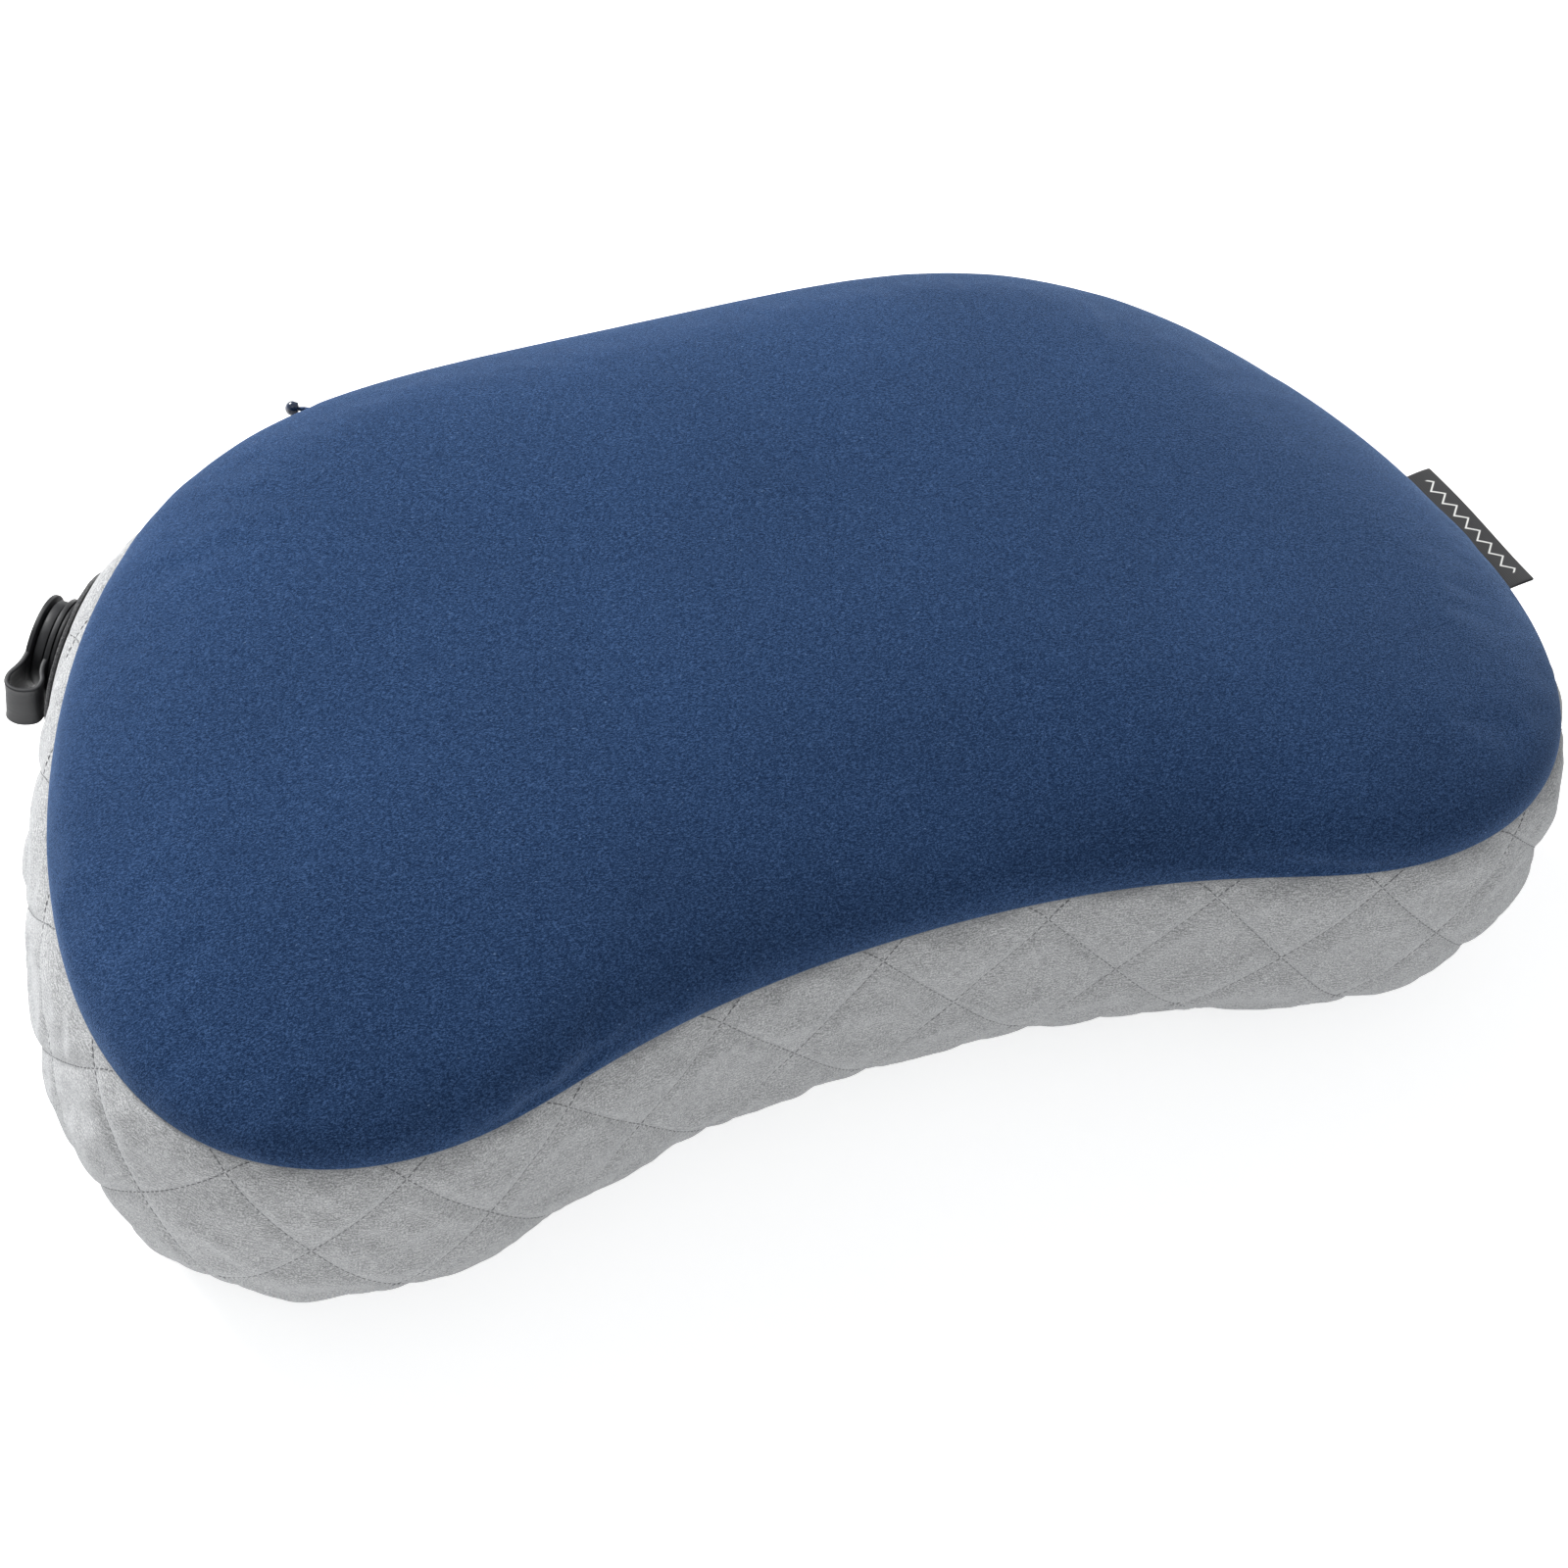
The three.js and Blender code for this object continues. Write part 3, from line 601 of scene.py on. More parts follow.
def label_black():
    """Black woven satin with a plain zigzag, read from the label's own map."""
    finish = Finish("label_black", 0.6, Sheen_Weight=0.1, Specular_IOR_Level=0.35)
    ribs = finish.wave(finish.place(use="UV"), 1 / (0.35 * MM) / 6.283, "Y", warp=0.3)
    yarn = finish.noise(finish.place(stretch=(1, 3, 1), use="UV"), 2200, detail=2)
    body = finish.mix(ribs, (0.012, 0.012, 0.013), (0.035, 0.035, 0.038))
    body = finish.mix(0.35, body, finish.ramp(yarn, (0.3, 0.01), (0.7, 0.06)))
    finish.colour(finish.mix(label_line(finish), body, (0.62, 0.62, 0.6)))
    finish.bump(ribs, 0.08 * MM, 0.6)
    return finish.material


def label_line(finish):
    """1 on the zigzag, which stops short of both ends, and 0 elsewhere."""
    along, reach, _ = finish.node("SeparateXYZ", Vector=finish.place(use="UV")).outputs
    fold = (LABEL_REACH + LABEL_TUCK) * 1.02
    from_fold = finish.math("ABSOLUTE", finish.math("SUBTRACT", reach, fold))
    tooth = finish.math("PINGPONG", along, 2.6 * MM)
    height = finish.math("ADD", finish.math("MULTIPLY", tooth, 1.3), 3.4 * MM)
    off = finish.math("ABSOLUTE", finish.math("SUBTRACT", from_fold, height))
    zigzag = finish.math("LESS_THAN", off, 0.42 * MM)
    from_middle = finish.math("ABSOLUTE", finish.math("SUBTRACT", along, LABEL_LENGTH / 2))
    inside = finish.math("LESS_THAN", from_middle, LABEL_LENGTH / 2 - 4 * MM)
    return finish.math("MULTIPLY", zigzag, inside)


# ---- Cover ----
def wall_grid():
    """Columns round the wall and rows down it, lined up so that stitch lines run corner to corner."""
    columns = DIAMONDS_ROUND * CELLS
    start = round(CROSSING_AT / GIRTH * columns)
    round_wall = (CROSSING_AT + (np.arange(columns) - start) * GIRTH / columns) % GIRTH
    pitch = DIAMOND_HALF / (CELLS / 2)
    rows_below = round((FOOT_SEAM - FIRST_CROSSING) / pitch)
    down = FIRST_CROSSING + pitch * np.arange(-1, rows_below + 1)
    return np.interp(round_wall, ROUND, TURN), np.concatenate([[0], down]), start


def stitch_offset(column, row, start):
    """How many cells a grid point is from the two families of stitch lines."""
    crossing_row = 2
    half = CELLS / 2
    falling = (column - start - (row - crossing_row) + half) % CELLS - half
    rising = (column - start + (row - crossing_row) + half) % CELLS - half
    return falling, rising


def edge_rows(t, z_edge, side, tuck_count=3):
    """The cloth's edge turned in: to the seam allowance, and over the zip back to its tape."""
    edge = seam_line(t)
    over_zip = zip_share(t)
    mouth = ZIP_MOUTH * over_zip
    rows = []
    for k in range(tuck_count, 0, -1):
        share = k / tuck_count
        bend = math.sin(share * math.pi / 2)
        plain = edge - outward(t) * (SEAM_TUCK * share)
        tape = np.stack([edge[:, 0], np.full(len(t), tape_high.y + 0.3 * MM)], -1)
        at_zip = edge + (tape - edge) * share
        flat = plain + (at_zip - plain) * over_zip[:, None]
        drop = z_edge - side * (0.5 * MM * bend) * (1 - over_zip) + side * mouth
        height = drop + side * 0.8 * MM * share * over_zip
        rows.append(np.concatenate([flat, height[:, None]], -1))
    return rows, mouth


VALVE = {}


def valve_frame():
    """The valve's bench frame: X to the far side, Y down and Z out of the wall."""
    out = -Vector(joints["flap_lift"]["axis"]).normalized()
    far = Vector((out.y, -out.x, 0))
    hinge = Vector(joints["plug_hinge"]["pos_m"])
    origin = hinge + far * HINGE_OUT + out * (VALVE_SWELL - HINGE_UP)
    turn = Matrix((far, Vector((0, 0, -1)), out)).transposed().to_4x4()
    VALVE.update(origin=origin, out=out, far=far, matrix=Matrix.Translation(origin) @ turn)


def from_valve(points):
    """Distance of points from the valve's axis, and 1 on its side of the pillow."""
    away = points - np.array(VALVE["origin"])
    out = np.array(VALVE["out"])
    along = away @ out
    return np.linalg.norm(away - along[:, None] * out, axis=1), np.abs(along) < 40 * MM


def quilted_wall():
    """The wall's face: diamonds puffed between stitch lines, from the seam down to the foot seam."""
    t, down, start = wall_grid()
    columns, rows = len(t), len(down)
    tuck, mouth = edge_rows(t, SEAM_Z - EDGE_GAP, -1)
    column, row = np.meshgrid(np.arange(columns), np.arange(rows))
    falling, rising = stitch_offset(column, row, start)
    width, height = GIRTH / columns, DIAMOND_HALF / (CELLS / 2)
    across = width * height / math.hypot(width, height)
    pulled = [1 - np.exp(-np.abs(cells) * across / QUILT_SOFT) for cells in (falling, rising)]
    lift = -QUILT_VALLEY + (QUILT_VALLEY + QUILT_PUFF) * pulled[0] * pulled[1] * 1.1
    near_seam = smooth_step(down / SEAM_FADE)
    near_foot = smooth_step((FOOT_SEAM - down) / FOOT_FADE)
    low_down = 1 - 0.45 * smooth_step((down - 45 * MM) / (40 * MM))
    lift = lift * (near_seam * near_foot * low_down)[:, None] - EDGE_GAP * (1 - near_seam)[:, None]
    flat = wall_point(t[None, :], down[:, None], 0.0).reshape(-1, 3)
    distance, here = from_valve(flat)
    by_valve = (here * smooth_step((VALVE_CLEAR + VALVE_FADE - distance) / VALVE_FADE)).reshape(lift.shape)
    lift = lift * (1 - by_valve) + (VALVE_SWELL - 0.4 * MM) * by_valve
    wobble = (ripple(flat, 55, 3) * 0.45 + ripple(flat, 160, 5) * 0.2).reshape(lift.shape) * MM
    lift += wobble * (near_seam * near_foot)[:, None] * (1 - by_valve)
    points = wall_point(t[None, :], down[:, None], lift)
    give = np.exp(-((down / MOUTH_REACH) ** 2))
    points[..., 2] -= give[:, None] * mouth[None, :]
    points[..., 2] = np.maximum(points[..., 2], FLOOR_GAP)
    layers = [*tuck, *points]
    all_points = np.concatenate(layers)
    faces, map_points, creases = wall_faces(columns, len(tuck), rows, down, start)
    wall = mesh_piece("quilted_wall", all_points, faces)
    lay_map(wall, map_points)
    crease_edges(wall, creases)
    sewn = np.zeros((len(layers), columns), bool)
    sewn[: len(tuck) + 1] = True
    sewn[-1] = True
    sewn[len(tuck) :] |= (falling == 0) | (rising == 0) | (by_valve > 0.2)
    settle(wall, np.flatnonzero(sewn.ravel()), 0.03, 1.0 * MM)
    settled = points_of(wall)
    settled[:, 2] = np.maximum(settled[:, 2], FLOOR_GAP)
    set_points(wall, settled)
    VALVE["lying"] = BVHTree.FromPolygons([tuple(p) for p in settled], [tuple(f) for f in faces])
    threads = wall_threads(settled.reshape(len(layers), columns, 3)[len(tuck) :], falling, rising, by_valve)
    open_for_valve(wall)
    refine(wall)
    thicken(wall, CLOTH, 0.62)
    smooth(wall, 180)
    return wall, threads


def wall_faces(columns, tuck, rows, down, start):
    """Faces of the wall grid, split where a stitch line crosses a cell, with their cloth map."""
    faces, map_points, creases = [], [], []
    width = GIRTH / columns
    heights = [*(-MM * k for k in range(tuck, 0, -1)), *down]
    for layer in range(tuck + rows - 1):
        row = layer - tuck
        for column in range(columns):
            following = (column + 1) % columns
            a, b = layer * columns + column, layer * columns + following
            c, d = a + columns, b + columns
            left, right = column * width, (column + 1) * width
            top, low = heights[layer], heights[layer + 1]
            corner = {a: (left, top), b: (right, top), c: (left, low), d: (right, low)}
            falls = row >= 0 and stitch_offset(column, row, start)[0] == 0
            rises = row >= 0 and stitch_offset(column + 1, row, start)[1] == 0
            if falls:
                cells = [(a, b, d), (a, d, c)]
                creases.append((a, d))
            elif rises:
                cells = [(a, b, c), (b, d, c)]
                creases.append((b, c))
            else:
                cells = [(a, b, d, c)]
            for cell in cells:
                faces.append(cell)
                map_points.extend(corner[i] for i in cell)
    return faces, map_points, creases


def lay_map(piece, map_points):
    """The cloth map: metres along and across the cloth."""
    layer = piece.data.uv_layers.new(name="cloth")
    layer.data.foreach_set("uv", np.array(map_points, np.float32).ravel())


def crease_edges(piece, pairs, weight=0.55):
    wanted = {tuple(sorted(pair)) for pair in pairs}
    attribute = piece.data.attributes.new("crease_edge", "FLOAT", "EDGE")
    for edge in piece.data.edges:
        if tuple(sorted(edge.vertices)) in wanted:
            attribute.data[edge.index].value = weight


def open_for_valve(wall):
    """Cuts the face away inside the patch, where the collar comes through."""
    middles = np.array([polygon.center for polygon in wall.data.polygons])
    distance, here = from_valve(middles)
    doomed = np.flatnonzero(here & (distance < VALVE_OPENING))
    sheet = bmesh.new()
    sheet.from_mesh(wall.data)
    sheet.faces.ensure_lookup_table()
    bmesh.ops.delete(sheet, geom=[sheet.faces[i] for i in doomed], context="FACES")
    sheet.to_mesh(wall.data)
    sheet.free()


THREAD = 0.16 * MM  # radius
THREAD_SIDES = 5
STITCH_ARCH = [(0.06, -0.34, 0.8), (0.24, 0.02, 1), (0.5, 0.1, 1), (0.76, 0.02, 1), (0.94, -0.34, 0.8)]


def sew(name, starts, ends, normals):
    """One mesh of stitches: each a short arched length of thread between two needle holes."""
    along = ends - starts
    length = np.linalg.norm(along, axis=1, keepdims=True)
    along = along / length
    normals = normals - along * np.sum(normals * along, axis=1, keepdims=True)
    normals /= np.linalg.norm(normals, axis=1, keepdims=True)
    sideways = np.cross(along, normals)
    turns = 2 * math.pi * np.arange(THREAD_SIDES) / THREAD_SIDES
    rings = [
        starts + along * length * share + normals * (rise * MM)
        + (normals * math.cos(turn) + sideways * math.sin(turn)) * THREAD * thick
        for share, rise, thick in STITCH_ARCH
        for turn in turns
    ]
    per_stitch = len(STITCH_ARCH) * THREAD_SIDES
    points = np.stack(rings, 1).reshape(-1, 3)
    pattern = ring_faces(THREAD_SIDES, len(STITCH_ARCH))
    pattern.append(tuple(range(THREAD_SIDES)))
    pattern.append(tuple(per_stitch - 1 - side for side in range(THREAD_SIDES)))
    faces = [
        tuple(i + stitch * per_stitch for i in face)
        for stitch in range(len(starts))
        for face in pattern
    ]
    threads = mesh_piece(name, points, faces)
    smooth(threads, 60)
    return threads


def wall_threads(points, falling, rising, by_valve):
    """Stitches along both families of lines, one to a cell."""
    rows, columns = falling.shape
    starts, ends = [], []
    for row in range(rows - 1):
        for column in range(columns):
            if by_valve[row, column] > 0.8:
                continue
            for line, step in ((falling, 1), (rising, -1)):
                if line[row, column] == 0:
                    upper = points[row, column]
                    lower = points[row + 1, (column + step) % columns]
                    middle = (upper + lower) / 2
                    starts += [upper, middle]
                    ends += [middle, lower]
    starts, ends = np.array(starts), np.array(ends)
    return sew("wall_stitching", starts, ends, nearest_normals((starts + ends) / 2))


def nearest_normals(points):
    """The plain wall's outward normal by each point."""
    grid_t = np.linspace(0, 2 * np.pi, 721)
    grid_down = np.linspace(0, FOOT_SEAM + 2 * MM, 60)
    base = wall_point(grid_t[:, None], grid_down[None, :])
    lifted = wall_point(grid_t[:, None], grid_down[None, :], MM)
    normals = (lifted - base).reshape(-1, 3)
    tree = KDTree(len(normals))
    for i, p in enumerate(base.reshape(-1, 3)):
        tree.insert(p, i)
    tree.balance()
    return np.array([normals[tree.find(p)[1]] for p in points]) / MM


def fill_inside(ring, spacing, height):
    """Points and triangles that fill a closed ring in plan, each inner point at height(x, y)."""
    low, high = ring[:, :2].min(0), ring[:, :2].max(0)
    line = spacing * math.sqrt(3) / 2
    inner = []
    for k in range(int((high[1] - low[1]) / line) + 1):
        xs = np.arange(low[0] + (k % 2) * spacing / 2, high[0], spacing)
        inner.append(np.stack([xs, np.full(len(xs), low[1] + k * line)], -1))
    inner = np.concatenate(inner)
    inner = inner[clear_inside(ring, inner, spacing * 0.62)]
    flat = [Vector(p) for p in np.concatenate([ring[:, :2], inner])]
    count = len(ring)
    border = [(i, (i + 1) % count) for i in range(count)]
    made = delaunay_2d_cdt(flat, border, [], 1, 1e-7)
    heights = np.concatenate([ring[:, 2], height(inner[:, 0], inner[:, 1])])
    points = np.concatenate([np.array([tuple(p) for p in made[0]]), heights[:, None]], -1)
    return points, [tuple(f) for f in made[2]]


def clear_inside(ring, points, clear):
    """True for points inside a closed ring in plan and clear of it."""
    ends = np.roll(ring, -1, axis=0)
    x, y = points[:, 0, None], points[:, 1, None]
    straddles = (ring[None, :, 1] > y) != (ends[None, :, 1] > y)
    rise = np.where(np.abs(ends[:, 1] - ring[:, 1]) < 1e-12, 1e-12, ends[:, 1] - ring[:, 1])
    meets = ring[:, 0] + (y - ring[:, 1]) * (ends[:, 0] - ring[:, 0]) / rise
    inside = (straddles & (x < meets)).sum(1) % 2 == 1
    nearest = np.min(np.hypot(x - ring[None, :, 0], y - ring[None, :, 1]), axis=1)
    return inside & (nearest > clear)


TOP_COLUMNS = 384
TOP_RINGS = 12
RING_TURN = math.radians(30)
TOP_TURN = np.interp(np.arange(TOP_COLUMNS) * GIRTH / TOP_COLUMNS, ROUND, TURN)


def top_cover():
    """The blue top: rings up from the seam, then even triangles over the crown, puffed by cloth."""
    tuck, mouth = edge_rows(TOP_TURN, SEAM_Z + EDGE_GAP, 1)
    rings = []
    edge = seam_line(TOP_TURN)
    for k in range(TOP_RINGS + 1):
        turn = RING_TURN * (k / TOP_RINGS) ** 1.15
        share = math.cos(turn) ** (2 / ROUNDNESS)
        flat = np.array([0, CROWN_Y]) + (edge - (0, CROWN_Y)) * share
        rise = math.sin(turn) ** (2 / ROUNDNESS)
        z = SEAM_Z + 0.3 * MM + (CROWN_Z - SEAM_Z - 0.3 * MM) * rise
        give = math.exp(-(((z - SEAM_Z) / MOUTH_REACH) ** 2))
        rings.append(np.concatenate([flat, (z + mouth * give)[:, None]], -1))
    layers = [*tuck, *rings]
    inner_points, inner_faces = fill_inside(rings[-1], FILL_SPACING, crown_height)
    base = (len(layers) - 1) * TOP_COLUMNS
    faces = ring_faces(TOP_COLUMNS, len(layers))
    faces += [tuple(i + base for i in face) for face in inner_faces]
    points = np.concatenate([*layers, inner_points[TOP_COLUMNS:]])
    cover = mesh_piece("top_cover", points, faces)
    turn_faces_out(cover)
    held = np.arange((len(tuck) + 1) * TOP_COLUMNS)
    settle(cover, held, 0.0, 0.9 * MM)
    pucker(cover)
    refine(cover)
    thicken(cover, CLOTH, 0.6)
    smooth(cover, 180)
    return cover


PUCKER_AT = math.radians(222)
PUCKER_SPREAD = math.radians(30)


def pucker(cover):
    """Soft gathers that run up from the seam and die out, strongest on the front left lobe."""
    points = points_of(cover)
    angle, out, edge = about_crown(points[:, 0], points[:, 1])
    away = edge - out
    rim = np.stack([np.sin(angle) * edge, np.cos(angle) * edge, 0 * edge], -1)
    gathers = ripple(rim, 95, 11) + 0.6 * ripple(rim, 210, 17)
    front_lobe = np.exp(-(((angle - PUCKER_AT) / PUCKER_SPREAD) ** 2))
    strength = 0.03 + 1.2 * front_lobe
    fade = np.exp(-away / (17 * MM)) * smooth_step((points[:, 2] - SEAM_Z) / (5 * MM))
    broad = ripple(points, 17, 31) * smooth_step(away / (40 * MM)) * 0.7 * MM
    push_out(cover, gathers * strength * fade * 1.1 * MM + broad)


def foot_panel():
    """The underside: a flat quilted panel inside the foot seam, with its own stitches."""
    rim, edge, turned = (
        np.column_stack([wall_point(TOP_TURN, FOOT_SEAM + past)[:, :2], np.full(TOP_COLUMNS, z)])
        for past, z in ((-0.6 * MM, 2.4 * MM), (0, 0.9 * MM), (1.5 * MM, 0.25 * MM))
    )
    inner_points, inner_faces = fill_inside(turned, FILL_SPACING, lambda x, y: np.full(len(x), 0.25 * MM))
    count = TOP_COLUMNS
    faces = ring_faces(count, 3, flip=True)
    faces += [tuple(reversed([i + 2 * count for i in face])) for face in inner_faces]
    points = np.concatenate([rim, edge, inner_points])
    depth, _ = foot_lines(points[:, 0], points[:, 1])
    inside = np.arange(len(points)) >= 2 * count
    points[:, 2] += inside * 1.6 * MM * np.exp(-depth / (3.5 * MM))
    panel = mesh_piece("foot_panel", points, faces)
    turn_faces_out(panel)
    refine(panel)
    thicken(panel, CLOTH, 0.6)
    lay_flat_map(panel)
    smooth(panel, 180)
    return panel, foot_threads(turned)


FOOT_PITCH = 46.6 * MM
FOOT_THREAD_Z = 1.75 * MM


def foot_lines(x, y):
    """Distance to the nearest stitch line of the underside, and both families' places."""
    reach = FOOT_PITCH / math.sqrt(2)
    lines = [(x + y) / math.sqrt(2), (x - y) / math.sqrt(2)]
    away = [np.abs((line + reach / 2) % reach - reach / 2) for line in lines]
    return np.minimum(*away), lines


def foot_threads(ring):
    """Stitches along the underside's diagonal lines, clipped to its outline."""
    reach, stitch, half = FOOT_PITCH / math.sqrt(2), 4.2 * MM, LENGTH / 2
    lines = int(half / reach) + 4
    steps = np.arange(-half * 1.5, half * 1.5, stitch)
    line, run = np.meshgrid(np.arange(-lines, lines + 1) * reach, steps, indexing="ij")
    starts, ends = (
        np.concatenate([
            np.stack([line + along, (line - along) * family, 0 * line], -1).reshape(-1, 3) / math.sqrt(2)
            for family in (1, -1)
        ]) + (0, 0, FOOT_THREAD_Z)
        for along in (run, run + stitch)
    )
    keep = clear_inside(ring, starts, 2 * MM) & clear_inside(ring, ends, 2 * MM)
    down = np.tile([0.0, 0.0, -1.0], (int(keep.sum()), 1))
    return sew("foot_stitching", starts[keep], ends[keep], down)


def lay_flat_map(piece):
    """A cloth map straight from the plan."""
    points = points_of(piece)
    corners = np.empty(len(piece.data.loops), int)
    piece.data.loops.foreach_get("vertex_index", corners)
    lay_map(piece, points[corners][:, :2])


# ---- Valve, modelled on the bench with its axis along Z ----
def turned(name, steps, turns=96, closed=False):
    """A round piece drawn up ring by ring through (radius, height) steps, in millimetres."""
    radius, height = steps[0]
    bpy.ops.mesh.primitive_circle_add(vertices=turns, radius=radius * MM, location=(0, 0, height * MM))
    piece = named(name)
    bpy.ops.object.transform_apply(location=True)
    edit(piece)
    if not closed:
        bpy.ops.mesh.edge_face_add()
    bpy.ops.mesh.select_mode(type="EDGE")
    for (from_radius, from_height), (to_radius, to_height) in zip(steps, steps[1:]):
        rise = (0, 0, (to_height - from_height) * MM)
        share = to_radius / from_radius
        bpy.ops.mesh.extrude_edges_move(TRANSFORM_OT_translate={"value": rise})
        bpy.ops.transform.resize(value=(share, share, 1), center_override=(0, 0, to_height * MM))
    if not closed:
        bpy.ops.mesh.edge_face_add()
    bpy.ops.mesh.select_mode(type="VERT")
    bpy.ops.mesh.select_all(action="SELECT")
    bpy.ops.mesh.remove_doubles(threshold=1e-6)
    bpy.ops.object.mode_set(mode="OBJECT")
    turn_faces_out(piece)
    return piece


def ease(piece, width, segments=3, degrees=30):
    """Rounds the sharp edges of a moulded piece."""
    limit = {"limit_method": "ANGLE", "angle_limit": math.radians(degrees)}
    modify(piece, "BEVEL", width=width * MM, segments=segments, harden_normals=False, **limit)


def join(name, *pieces):
    """Welds closed solids into one piece."""
    first = pieces[0]
    for other in pieces[1:]:
        modify(first, "BOOLEAN", operation="UNION", object=other, solver="EXACT")
        bpy.data.objects.remove(other)
    first.name = first.data.name = name
    return first


def valve_collar():
    """The welded base: flange inside the cover, collar through it and a lip to snap on."""
    steps = [
        (11.2, -6.8), (17, -6.8), (17, -6), (13.4, -6), (12.8, -5.4), (12.8, 1.6),
        (13.3, 2.0), (13.3, 2.9), (12.2, 2.9), (12.0, 2.4), (11.2, 2.4), (11.2, -6.8),
    ]
    collar = turned("valve_collar", steps, closed=True)
    ease(collar, 0.16)
    return collar


def half_round(middle, radius, bends):
    """Corner places round a rounded end, from below to above."""
    turns = np.linspace(-math.pi / 2, math.pi / 2, bends + 1)
    return [(middle + radius * math.cos(a), radius * math.sin(a)) for a in turns]


def plug_tab():
    """The finger tab on the far side of the plug's lip, drooping towards the cloth."""
    lip_radius, half_width, reach, bury = 13.6 * MM, 4.5 * MM, 10.6 * MM, 2 * MM
    end = half_round(reach - half_width, half_width, 10)
    outline = [(-bury, -half_width), *end, (-bury, half_width)]
    bpy.ops.mesh.primitive_circle_add(vertices=len(outline), radius=MM, fill_type="NGON")
    tab = named("plug_tab")
    set_points(tab, np.array([(x, y, 0) for x, y in outline]))
    edit(tab)
    bpy.ops.mesh.extrude_region_move(TRANSFORM_OT_translate={"value": (0, 0, 2.1 * MM)})
    bpy.ops.mesh.inset(thickness=1.1 * MM, depth=-0.35 * MM)
    bpy.ops.object.mode_set(mode="OBJECT")
    turn_faces_out(tab)
    droop = Matrix.Rotation(math.radians(4), 4, "Y")
    place(tab, Matrix.Translation((lip_radius, 0, 3.1 * MM)) @ droop)
    return tab


def plug_body():
    """The plug: stem in the collar, lip on its rim, and a ribbed band to grip."""
    steps = [
        (5.2, -0.6), (10.2, -0.6), (10.6, -0.2), (10.6, 3.2), (13.6, 3.2), (13.6, 4.6), (11.3, 4.6),
        (11.1, 5.2), (12.2, 5.4), (12.2, 7.8), (11.4, 8.2), (5.2, 8.2), (5.2, -0.6),
    ]
    body = turned("plug_body", steps, turns=180, closed=True)
    points = points_of(body)
    radius = np.hypot(points[:, 0], points[:, 1])
    band = (np.abs(radius - 12.2 * MM) < 0.05 * MM) & (points[:, 2] > 5 * MM)
    turn = np.arctan2(points[:, 1], points[:, 0])
    groove = np.round(turn / (2 * math.pi) * 180).astype(int) % 2 != 0
    points[band & groove, :2] *= 0.99
    set_points(body, points)
    ease(body, 0.14, segments=2, degrees=42)
    return body


def plug_web():
    """Three spokes and a hub across the plug's bore, which hold the flap's stem."""
    hub = turned("plug_web", [(1.3, -0.6), (2.2, -0.6), (2.2, 0.2), (1.3, 0.2), (1.3, -0.6)], 32, True)
    spokes = []
    for k in range(3):
        bpy.ops.mesh.primitive_cube_add(size=1, location=(3.6 * MM, 0, -0.2 * MM))
        spoke = scaled(named(f"spoke_{k}"), 3.6 * MM, 1.4 * MM, 0.8 * MM)
        place(spoke, Matrix.Rotation(k * 2 * math.pi / 3, 4, "Z"))
        spokes.append(spoke)
    web = join("plug_web", hub, *spokes)
    ease(web, 0.1, segments=2)
    return web


def cap_disc():
    """The cap: a dished plate with a round rim, and its stopper below."""
    steps = [
        (4.2, 5.6), (4.6, 6.1), (4.6, 8.5), (12.6, 8.5), (13.2, 8.8), (13.2, 9.75), (12.95, 10.05),
        (12.3, 10.05), (12.0, 9.7), (5.2, 9.7), (4.9, 10.0), (0.8, 10.0),
    ]
    cap = turned("cap_disc", steps)
    ease(cap, 0.14, segments=3)
    return cap


def bent_strap(name, path, widths, thick, bead):
    """A moulded strap bent along a path in millimetres, with a thicker bead on both edges."""
    steps = 64
    curve = smooth_path(path, steps) * MM
    along = np.gradient(curve, axis=0)
    along /= np.linalg.norm(along, axis=1, keepdims=True)
    out = np.stack([-along[:, 1], along[:, 0]], -1)
    width = np.interp(np.linspace(0, 1, steps), np.linspace(0, 1, len(widths)), widths) * MM
    section = strap_section(thick * MM, bead * MM)
    rings = []
    for k in range(steps):
        ring = []
        for across, rise in section:
            flat = curve[k] + out[k] * rise
            side = math.copysign(width[k] / 2 - (1 - abs(across)) * 1.6 * MM, across)
            side = side if abs(across) > 0.35 else 0
            ring.append((flat[0], side, flat[1]))
        rings.append(ring)
    count = len(section)
    faces = ring_faces(count, steps)
    faces.append(tuple(range(count)))
    faces.append(tuple(reversed(range((steps - 1) * count, steps * count))))
    strap = mesh_piece(name, np.array(rings).reshape(-1, 3), faces)
    turn_faces_out(strap)
    refine(strap)
    return strap


def strap_section(thick, bead):
    """Half-width shares and heights round the strap's section, beaded at both edges."""
    web, edge = thick / 2, bead / 2
    half = [(1.0, 0), (0.93, edge * 0.9), (0.7, edge), (0.5, web)]
    top = [*((-x, z) for x, z in half), (0, web), *half[:0:-1]]
    return top + [(-x, -z) for x, z in top]


def smooth_path(points, steps):
    """Evenly spaced points on a smooth curve through a few bends."""
    points = np.array(points, float)
    fine = []
    padded = np.concatenate([[2 * points[0] - points[1]], points, [2 * points[-1] - points[-2]]])
    for p0, p1, p2, p3 in zip(padded, padded[1:], padded[2:], padded[3:]):
        for s in np.linspace(0, 1, 24, endpoint=False):
            bend, twist = 2 * p0 - 5 * p1 + 4 * p2 - p3, 3 * p1 - p0 - 3 * p2 + p3
            fine.append(0.5 * (2 * p1 + (p2 - p0) * s + bend * s**2 + twist * s**3))
    fine = np.array([*fine, points[-1]])
    run = lengths(fine)
    wanted = np.linspace(0, run[-1], steps)
    return np.stack([np.interp(wanted, run, fine[:, k]) for k in range(2)], -1)


